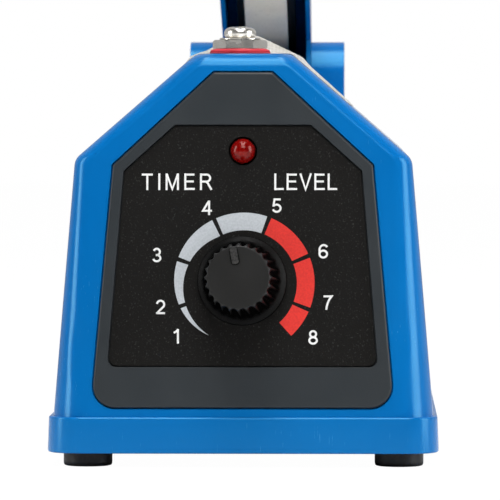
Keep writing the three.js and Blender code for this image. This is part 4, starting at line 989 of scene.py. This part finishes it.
def fluted_ring(radius, flute, depth):
    """A ring about the knob's axis with grooves of this depth between its flutes."""
    sides = KNOB_FLUTES * 12
    ring = []
    for i in range(sides):
        angle = 2 * math.pi * i / sides
        wave = 0.5 - 0.5 * math.cos(KNOB_FLUTES * angle)
        reach = radius - flute * wave ** 0.7
        ring.append(Vector((reach * math.cos(angle), depth, reach * math.sin(angle))))
    return ring


def pointer_outline(half_width, low, high, steps):
    return round_corners(rectangle(-half_width, half_width, low, high), [0.3] * 4, steps)


def knob():
    """A skirted, fluted knob that leans a little to the left on its shaft."""
    profile = [
        (8.9, 0, -1), (9.05, 0, -1.08), (9.1, 0, -1.3), (9.1, 0, -2.1), (9.02, 0, -2.3), (8.8, 0, -2.5),
        (8.2, 0, -2.9), (7.95, 0.05, -3.2), (7.75, 0.5, -4.2), (7.4, 0.62, -7), (7.05, 0.62, -10.5),
        (6.92, 0.6, -13.4), (6.82, 0.5, -13.9), (6.6, 0.3, -14.25), (6.35, 0.1, -14.45), (6.15, 0, -14.52),
        (5.9, 0, -14.5), (5.4, 0, -14.46), (2.5, 0, -14.42), (0.4, 0, -14.4),
    ]
    cap = make("knob_cap", moved(loft([fluted_ring(*row) for row in profile]), KNOB_LEAN), PANEL)
    turn = KNOB_LEAN @ POINTER_TURN
    groove = moved(extrude(pointer_outline(0.55, 2.9, 6.1, 3), -15.5, -14.0, "Y"), turn)
    nut_room = rod(0, 0, 6.4, -3.6, 0.5, "Y")
    bore = rod(0, 0, 4.2, -11.6, 0, "Y")
    combine(cap, "DIFFERENCE", *cutters(groove, nut_room, bore, place=PANEL))
    soften(cap, 0.06)
    # the knob's own plastic, with painted shade in its sheltered skirt and flutes
    cap.data.materials.append(MATERIALS["knob_plastic"])
    finish_piece(cap, "knob", "black_plastic", "timer_knob")
    # a lighter ribbon around the pointer groove is a painted highlight on the groove's edge
    edge = pointer_outline(0.62, 2.85, 6.0, 4)
    outline = make("pointer_outline", moved(stroke_shape(edge + edge[:1], 0.16, -14.56), turn), PANEL)
    outline.data.materials.append(ink("pointer_edge_painted_highlight", (0.09, 0.088, 0.085), (0.03, 0.03, 0.03)))
    finish_piece(outline, "knob", "black_plastic")
    return cap


# ---- front terminal and sealing top

def straight(radius, low, high):
    return [(0.001, low), (radius, low), (radius, high), (0.001, high)]


def at_terminal(rows, sides):
    return moved(turned(rows, sides), TERMINAL)


def washer():
    rows = [
        (2.9, 82), (2.9, 84.45), (6.1, 84.45), (6.3, 84.55), (6.3, 84.72), (6.1, 84.8), (6.1, 84.92),
        (6.2, 84.98), (6.0, 85.2), (5.5, 85.42), (4.8, 85.5), (2.6, 85.5), (2.6, 82), (2.9, 82),
    ]
    disc = make("terminal_washer_skin", at_terminal(rows, 64))
    soften(disc)
    finish_piece(disc, "base", "red_fibre", "terminal_washer")


def stud():
    """A hexagon with chamfered corners on a bored shank."""
    hexagon = moved(extrude(circle(0, 0, 5.65, 6), HEX_LOW, HEX_LOW + 1.78, "Z"), TERMINAL)
    body = make("terminal_stud_skin", hexagon)
    chamfers = [(0.001, 84), (5.0, 84), (6.35, 86.2), (5.1, 87.5), (0.001, 87.5)]
    combine(body, "INTERSECT", *cutters(at_terminal(chamfers, 64)))
    combine(body, "UNION", *cutters(at_terminal(straight(2.3, 74, 86), 32)))
    combine(body, "DIFFERENCE", *cutters(at_terminal(straight(SCREW_BORE, 70, 90), 32)))
    soften(body, 0.1)
    finish_piece(body, "base", "nickel", "terminal_stud")


def lug():
    rows = [(1.9, 87.32), (4.1, 87.32), (4.25, 87.42), (4.25, 87.6), (4.1, 87.7), (1.9, 87.7), (1.9, 87.32)]
    ring = make("ribbon_lug_skin", at_terminal(rows, 48))
    soften(ring)
    finish_piece(ring, "base", "nickel", "ribbon_lug_front")


def terminal_screw():
    """A domed screw with a shallow cross in its head."""
    head = SCREW_HEAD_LOW
    rows = [(0.001, 76), (1.5, 76.5), (1.5, head), (2.9, head), (3.2, head + 0.25), (3.32, head + 0.7)]
    for k in range(12):
        angle = math.pi / 2 * k / 12
        rows.append((3.32 * math.cos(angle) ** 0.55, head + 1.0 + 1.3 * math.sin(angle)))
    screw = make("terminal_screw_skin", at_terminal(rows + [(0.001, head + 2.3)], 64))
    bar = block(-1.3, 1.3, -0.3, 0.3, head + 1.6, head + 4)
    turns = [TERMINAL @ Matrix.Rotation(math.radians(degrees), 4, "Z") for degrees in (20, 110)]
    combine(screw, "DIFFERENCE", *cutters(*(moved(bar, turn) for turn in turns)))
    soften(screw, 0.05)
    finish_piece(screw, "base", "nickel", "terminal_screw")


def eased(value):
    """0 below 0, 1 above 1 and a smooth rise between."""
    share = max(0.0, min(1.0, value))
    return share * share * (3 - 2 * share)


def lying_height(x):
    """Height of a cloth that lies on the casing's top and its two slopes."""
    slope = (TOP_Z - SHOULDER_Z) / (SHOULDER_HALF_WIDTH - TOP_HALF_WIDTH)
    return TOP_Z + 0.1 - max(0, abs(x) - TOP_HALF_WIDTH + 0.1) * slope


def tent_height(x):
    """Height of the front of the cloth, which the terminal's lug holds up."""
    for (x0, z0), (x1, z1) in zip(TENT, TENT[1:]):
        if x <= x1 + 1e-6:
            return z0 + (z1 - z0) * (x - x0) / (x1 - x0)
    return TENT[-1][1]


def draped_height(x, y):
    """Height over the heater: a flat ridge, then down to both slopes, with slight waves in the free edges."""
    side = abs(x)
    ridge = TOP_Z + RIDGE_RISE
    bend, foot = 5.2, 11.8
    if side < bend:
        height = ridge
    elif side < foot:
        share = (side - bend) / (foot - bend)
        bulge = 0.12 * math.sin(math.pi * share) * (1 - share)
        height = ridge + (lying_height(foot) - ridge) * (share + bulge)
    else:
        height = lying_height(side)
    loose = max(0.0, (side - bend) / 16)
    return height + loose * 0.07 * (1 + math.sin(y * 0.11 + side * 0.2) * math.cos(y * 0.043 + 1))


def cover_height(x, y):
    """The front edge lies on the casing, rises steeply to the tent and sinks to the ridge further back."""
    raised = eased((y - CLOTH_FRONT) / 4.5)
    settled = eased((y - CLOTH_FRONT - 4) / 3.2)
    behind = tent_height(x) + (draped_height(x, y) - tent_height(x)) * settled
    return lying_height(x) + (behind - lying_height(x)) * raised


def cloth_cover():
    """The non-stick cloth as one thin sheet draped over the heater."""
    columns = [CLOTH_HALF_WIDTH * (2 * i / 80 - 1) for i in range(81)]
    fine_end = CLOTH_FRONT + 6
    rows = [CLOTH_FRONT + 0.5 * j for j in range(12)]
    rows += [fine_end + (CLOTH_REAR - fine_end) * j / 110 for j in range(111)]
    points, faces = [], []
    for y in rows:
        for x in columns:
            fray = 0.25 * math.sin(x * 1.9) if y in (rows[0], rows[-1]) else 0
            points.append(Vector((x, y + fray, cover_height(x, y))))
    width = len(columns)
    for j in range(len(rows) - 1):
        for i in range(width - 1):
            low = j * width + i
            faces.append((low, low + 1, low + width + 1, low + width))
    bm = bmesh.new()
    fill(bm, (points, faces))
    cloth = close(bm, "sealing_cloth", MACHINE)
    skin = cloth.modifiers.new("thickness", "SOLIDIFY")
    skin.thickness = CLOTH_THICKNESS * MM
    skin.offset = 1
    apply_modifiers(cloth)
    cloth.data.shade_smooth()
    finish_piece(cloth, "base", "cream_cloth", "ptfe_cover")


# ---- press arm

def arm_channel():
    """The arm as a channel open below, shaped by its end view and side view, with its toe, web and tab."""
    half, top = ARM_HALF_WIDTH, ARM_TOP
    inner_half = half - ARM_WALL
    outer = round_corners(rectangle(-half, half, -9, top), [0, 0, 4, 4], 10)
    inner = round_corners(rectangle(-inner_half, inner_half, -12, top - 2), [0, 0, 2.2, 2.2], 8)
    side_view = round_corners(
        [(ARM_FRONT, ARM_EDGE), (-15.4, ARM_EDGE), (-13.5, 5), (-13.5, -6.5), (16.5, -7.5), (16.5, -1),
         (11, 12), (ROOF_SLOPE_START, top + 1), (ARM_FRONT, top + 1)],
        [0, 0, 0, 2.5, 3, 0, 6, 0, 0], 8,
    )
    hollow = [Vector(corner) for corner in [
        (ARM_FRONT + 2, -12), (14.2, -12), (14.2, -1), (9.4, 10.5), (ROOF_SLOPE_START, top - 1.15),
        (ARM_FRONT + 2, top - 1.15),
    ]]
    channel = make("arm_channel", extrude(outer, ARM_FRONT, 18, "Y"), ARM)
    combine(channel, "INTERSECT", *cutters(extrude(side_view, -half - 1, half + 1, "X"), place=ARM))
    core = make("cutter", extrude(inner, ARM_FRONT + 2, 19, "Y"), ARM)
    combine(core, "INTERSECT", *cutters(extrude(hollow, -half - 1, half + 1, "X"), place=ARM))
    combine(channel, "DIFFERENCE", core)
    reach = inner_half + 0.5
    toe = rod(-11, -4, 2.5, -reach, reach, "X")
    web = block(-reach, reach, 5.5, 7.5, -6.5, 6)
    tab = block(-1.2, 1.2, 7, 14.5, -7.5, -0.5)
    combine(channel, "UNION", *cutters(toe, web, tab, place=ARM))
    holes = [rod(0, 0, PIN_BORE, -13, 13, "X"), rod(11, -4, 1.9, -2, 2, "X")]
    holes += [rod(0, y, SCREW_BORE, 20, 26, "Z") for y in (HANDLE_SCREW_Y, *CARRIER_SCREWS_Y)]
    combine(channel, "DIFFERENCE", *cutters(*holes, place=ARM))
    soften(channel, 0.3, 3)
    finish_piece(channel, "arm", "blue_abs", "press_arm")


def handle():
    """The grip, from its tip to the arm: distance, half width, underside and top of each section."""
    stations = [
        (-292, 9.6, 15.2, 22.8), (-291.6, 11.0, 13.9, 24.2), (-290.6, 12.3, 12.7, 25.5),
        (-289, 13.3, 11.6, 26.5), (-286.5, 13.9, 10.8, 27.2), (-283, 14.0, 10.3, 27.5),
        (-276, 13.9, 9.9, 27.5), (-266, 13.8, 9.6, 27.3), (-256, 13.6, 9.5, 27.0), (-248, 13.4, 9.5, 26.6),
        (-245.2, 13.2, 9.6, 26.4), (-244.2, 12.8, 9.8, 26.0), (-244, 12.2, 10.2, 25.4),
    ]
    rings = []
    for y, half, low, high in stations:
        rings.append(upright_ring(round_corners(rectangle(-half, half, low, high), [3, 3, 4.6, 4.6], 10), y))
    grip = make("grip", loft(rings), ARM)
    half = ARM_HALF_WIDTH + 0.3
    tools = [
        block(-half, half, ARM_FRONT - 0.3, -240, 0, ARM_TOP + 0.3),
        rod(0, HANDLE_SCREW_Y, SCREW_BORE, 20, 30, "Z"),
        rod(0, HANDLE_SCREW_Y, 3.4, 26.2, 30, "Z"),
    ]
    tools += [rod(y, 27.95, 0.7, -16, 16, "X", 20) for y in range(-286, -269, 4)]
    combine(grip, "DIFFERENCE", *cutters(*tools, place=ARM))
    soften(grip, 0.25)
    finish_piece(grip, "arm", "black_plastic", "arm_handle")


def silicone_strip():
    """The pressing strip: softly rounded edges and a slight dip where it has pressed on the heater."""
    half, low, high = STRIP["half_width"], STRIP["low"], STRIP["high"]
    rings = []
    count = 90
    for k in range(count + 1):
        y = STRIP["front"] + (STRIP["rear"] - STRIP["front"]) * k / count
        wave = 0.05 * math.sin(y * 0.21) * math.cos(y * 0.047)
        outline = round_corners(rectangle(-half, half, low + wave, high), [0.5, 0.5, 0.2, 0.2], 5)
        for point in outline:
            if abs(point.x) < 1.6 and point.y < low + 0.3:
                point.y += 0.12
        rings.append(upright_ring(outline, y))
    strip = make("pressing_strip", loft(rings), ARM)
    soften(strip)
    finish_piece(strip, "arm", "grey_silicone", "silicone_strip")


# ---- feet, springs, lead

def feet():
    """Round feet with a recess for the screw head."""
    rows = [
        (1.9, 1.4), (3.1, 1.4), (3.1, 0.15), (3.25, 0), (4.4, 0), (4.8, 0.12), (4.97, 0.45), (5, 0.9),
        (5, 2.6), (4.9, 2.95), (4.7, 3.1), (1.9, 3.1), (1.9, 1.4),
    ]
    for place in ("front_left", "front_right", "rear_left", "rear_right"):
        low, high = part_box("foot_" + place)
        middle = Matrix.Translation(((low.x + high.x) / 2 / MM, (low.y + high.y) / 2 / MM, 0))
        foot = make("rubber_foot_" + place, moved(turned(rows, 56), middle), Matrix.Identity(4))
        soften(foot)
        finish_piece(foot, "base", "black_rubber", "foot_" + place)


def helix(x, y, z0, z1, radius, start, turns, per_turn=24):
    """Points along a coil about an upright axis."""
    count = round(turns * per_turn)
    points = []
    for i in range(count + 1):
        angle = start + 2 * math.pi * turns * i / count
        z = z0 + (z1 - z0) * i / count
        points.append(Vector((x + radius * math.cos(angle), y + radius * math.sin(angle), z)))
    return points


def coil_spring(name, node, path, radius, sides, steps):
    """A spring's wire, in world coordinates so that it can follow two bodies."""
    spring = tube(name, path, radius, sides, steps)
    spring.data.transform(spring.matrix_world)
    spring.matrix_world = Matrix.Identity(4)
    spring.data.materials.append(MATERIALS["spring_steel"])
    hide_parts(node)
    return spring


def spring_place(node):
    """A spring's middle along the machine, its bottom and its top, in the machine frame."""
    low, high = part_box(node)
    y = (low.y + high.y) / 2 / MM - MACHINE.translation.y / MM
    return y, low.z / MM, high.z / MM


def return_spring():
    """A pull spring with a hook at each end, which bends where it meets the arm."""
    y, bottom, top = spring_place("return_spring")

    def eye(z, start, end):
        return [Vector((px, y, pz)) for px, pz in arc(0, z, 3, 3, start, end, 20)]

    path = eye(bottom + 3.6, 60, -240)
    path += helix(0, y, bottom + 9.1, top - 9.1, 4, math.pi, 11.5)
    path += eye(top - 3.6, -60, 240)
    spring = coil_spring("arm_return_spring", "return_spring", path, 0.6, 12, 3)
    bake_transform(spring)


def rod_spring():
    y, bottom, top = spring_place("push_rod_spring")
    path = helix(0, y, bottom + 0.3, top - 0.3, 2.75, 0, 4)
    spring = coil_spring("rod_return_spring", "push_rod_spring", path, 0.25, 8, 2)
    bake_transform(spring)


def lead_path():
    """Out of the casing, up onto the coil, down its turns and in to the plug in the middle."""
    top = COIL_LOW + COIL_PITCH * COIL_TURNS
    path = [Vector((LEAD_X, y, LEAD_Z)) for y in (130, 136, 142, 147, 152, 155)]
    path += [Vector((LEAD_X + 5, 166, LEAD_Z + 6)), Vector((LEAD_X + 11, 177, top - 1.5))]
    path += helix(0, COIL_Y, top, COIL_LOW, COIL_RADIUS, 0, COIL_TURNS, 20)
    for degrees, radius, lift in ((10, COIL_RADIUS, 0), (28, 31.3, 0), (50, 27.3, 0.3), (70, 25, 1)):
        angle = math.radians(degrees)
        path.append(Vector((radius * math.cos(angle), COIL_Y + radius * math.sin(angle), COIL_LOW + lift)))
    for x, y, lift in ((2.2, 211.5, 2), (0.2, 206.5, 2.9), (0, 201.3, 3.2)):
        path.append(Vector((x, y, COIL_LOW + lift)))
    return path


def power_lead():
    lead = tube("mains_lead", lead_path(), LEAD_RADIUS, 20, 5)
    finish_piece(lead, "base", "lead_pvc", "power_lead")


def plug_ring(half_width, half_height, y, radius):
    corners = rectangle(-half_width, half_width, -half_height, half_height)
    return upright_ring(round_corners(corners, [radius] * 4, 8), y)


def plug():
    """A two-pin plug: ribbed neck, widening body and two flat blades."""
    rows = [
        (3.4, 3.4, 0, 3), (4.1, 4.1, -0.4, 3.6), (4.3, 4.3, -1.4, 3.8), (3.9, 3.9, -1.9, 3.5),
        (3.9, 3.9, -2.6, 3.5), (4.5, 4.5, -3.1, 3.8), (4.5, 4.5, -4.2, 3.8), (4.1, 4.1, -4.7, 3.5),
        (4.1, 4.1, -5.4, 3.5), (4.8, 4.8, -6, 3.9), (5.2, 4.9, -7.5, 3.8), (7.2, 5.3, -10, 3.6),
        (9, 5.8, -12.6, 3.4), (10.2, 6.05, -16, 3.2), (10.9, 6.2, -21, 3.1), (11, 6.2, -24, 3),
        (10.8, 6.0, -25.4, 2.9), (10.3, 5.5, -26, 2.6),
    ]
    place = MACHINE @ Matrix.Translation(Vector((0, 201, 6.5)) * MM)
    body = make("mains_plug", loft([plug_ring(*row) for row in rows]), place)
    soften(body)
    finish_piece(body, "base", "black_plastic", "power_plug")
    for side, x in (("left", -6.35), ("right", 6.35)):
        outline = round_corners(rectangle(x - 0.75, x + 0.75, -3.1, 3.1), [0.3] * 4, 4)
        blade = make("plug_blade_" + side, extrude(outline, -40.5, -25.5, "Y"), place)
        soften(blade, 0.3, 3)
        finish_piece(blade, "base", "brass")


def grommet():
    """A ribbed sleeve with a groove that clips into the casing's rear wall."""
    rows = [
        (3.7, 138.9), (6.5, 138.9), (6.5, 141.2), (5.3, 141.2), (5.3, 145.5), (6.8, 145.5), (6.95, 145.8),
        (6.8, 147.2),
    ]
    for y in (147.6, 148.7, 149.8):
        rows += [(5.3, y), (5.3, y + 0.6), (4.75, y + 0.7), (4.75, y + 1.0)]
    rows += [(4.6, 151.3), (4.3, 151.5), (3.7, 151.5), (3.7, 138.9)]
    along = Matrix.Translation((LEAD_X, 0, LEAD_Z)) @ Matrix.Rotation(-math.pi / 2, 4, "X")
    boot = make("strain_relief", moved(turned(rows, 48), along))
    soften(boot)
    finish_piece(boot, "base", "black_rubber", "lead_grommet")


# ---- carried-over CAD nodes

def dress_cad_nodes():
    """Gives every CAD node that is still shown its slot's material, merged corners and softened edges."""
    slots = {part["node"]: part["material_slot"] for part in frame["record"]["subparts"]}
    for name, obj in frame["nodes"].items():
        if obj.hide_render:
            continue
        obj.data.materials.clear()
        obj.data.materials.append(MATERIALS[slots[name]])
        stored = obj.data.attributes.get("custom_normal")
        if stored:
            obj.data.attributes.remove(stored)
        obj.data.shade_smooth()
        weld = obj.modifiers.new("merge", "WELD")
        weld.merge_threshold = CAD_EDGE["weld"]
        bevel = obj.modifiers.new("edges", "BEVEL")
        bevel.width = CAD_EDGE["width"]
        bevel.segments = 2
        bevel.limit_method = "ANGLE"
        bevel.angle_limit = CAD_EDGE["angle"]
        normals = obj.modifiers.new("normals", "WEIGHTED_NORMAL")
        normals.keep_sharp = False


# ---- studio

def floor():
    """White where the camera sees it, with only a faint shadow, and light grey to everything it lights."""
    reach = FLOOR_HALF_WIDTH
    points = [Vector((*corner, 0)) for corner in rectangle(-reach, reach, -reach, reach)]
    ground = make("studio_floor", (points, [(0, 1, 2, 3)]), Matrix.Translation((0, 0, -FLOOR_DROP)))
    r = Recipe("studio_white")
    direct = r.add("ShaderNodeLightPath", {}, "Is Camera Ray")
    tone = r.blend(r.noise(60, 2), (0.8, 0.8, 0.8), (0.77, 0.77, 0.77))
    shade = r.blend(direct, tone, (0.05, 0.05, 0.05))
    glow = r.maths("MULTIPLY", direct, FLOOR_GLOW)
    ground.data.materials.append(
        r.set(shade, 0.8, Specular_IOR_Level=0.0, Emission_Color=(1, 1, 1), Emission_Strength=glow),
    )


def world():
    """White behind the object and in the camera's view, and dim on the camera's side."""
    sky = bpy.data.worlds.new("studio")
    bpy.context.scene.world = sky
    sky.use_nodes = True
    tree = sky.node_tree
    tree.nodes.clear()
    direction = add_node(tree, "ShaderNodeTexCoord", {}, "Generated")
    depth = add_node(tree, "ShaderNodeSeparateXYZ", {0: direction}, "Y")
    level = add_node(tree, "ShaderNodeMapRange", {
        "Value": depth, "From Min": WORLD_DARK_Y, "From Max": WORLD_LIGHT_Y,
        "To Min": WORLD_FRONT, "To Max": WORLD_BACK,
    })
    lit = add_node(tree, "ShaderNodeBackground", {"Strength": level})
    seen = add_node(tree, "ShaderNodeBackground", {"Color": (1, 1, 1, 1)})
    direct = add_node(tree, "ShaderNodeLightPath", {}, "Is Camera Ray")
    mix = add_node(tree, "ShaderNodeMixShader", {0: direct, 1: lit, 2: seen})
    output = tree.nodes.new("ShaderNodeOutputWorld")
    tree.links.new(mix, output.inputs["Surface"])


def face_along(obj, place, direction):
    obj.location = place
    obj.rotation_euler = direction.to_track_quat("-Z", "Y").to_euler()


def softbox(name, place, target, width, height, power):
    light = bpy.data.lights.new(name, "AREA")
    light.shape = "RECTANGLE"
    light.size = width
    light.size_y = height
    light.energy = power
    face_along(add_object(name, light), place, Vector(target) - Vector(place))


def lights():
    softbox("left_box", (-1.0, -0.36, 0.3), (0, -0.17, 0.05), 0.3, 0.9, 5)
    softbox("right_box", (1.0, -0.42, 0.3), (0, -0.17, 0.05), 0.5, 0.9, 8)
    softbox("top_box", (0, -0.3, 0.78), (0, -0.29, 0), 0.36, 0.7, 6.2)
    softbox("front_box", (0.1, -1.15, 0.95), (0, -0.16, 0.05), 0.7, 0.5, 7)


def camera(focus):
    """A long lens in front of the panel, slightly above and to the right of it."""
    data = bpy.data.cameras.new("camera")
    for key, value in CAMERA_LENS.items():
        setattr(data, key, value)
    data.dof.use_dof = True
    data.dof.focus_object = focus
    data.dof.aperture_fstop = FOCUS_STOP
    left, down = CAMERA["left"], CAMERA["down"]
    look = Vector((-math.sin(left) * math.cos(down), math.cos(left) * math.cos(down), -math.sin(down)))
    eye = add_object("camera", data)
    face_along(eye, CAMERA["place"], look)
    bpy.context.scene.camera = eye


casing()
bezel()
label_sheet()
dial_print()
lamp()
knob_piece = knob()
washer()
stud()
lug()
terminal_screw()
cloth_cover()
arm_channel()
handle()
silicone_strip()
feet()
return_spring()
rod_spring()
power_lead()
plug()
grommet()
dress_cad_nodes()
floor()
world()
lights()
camera(knob_piece)
bpy.context.scene.view_settings.view_transform = "Standard"
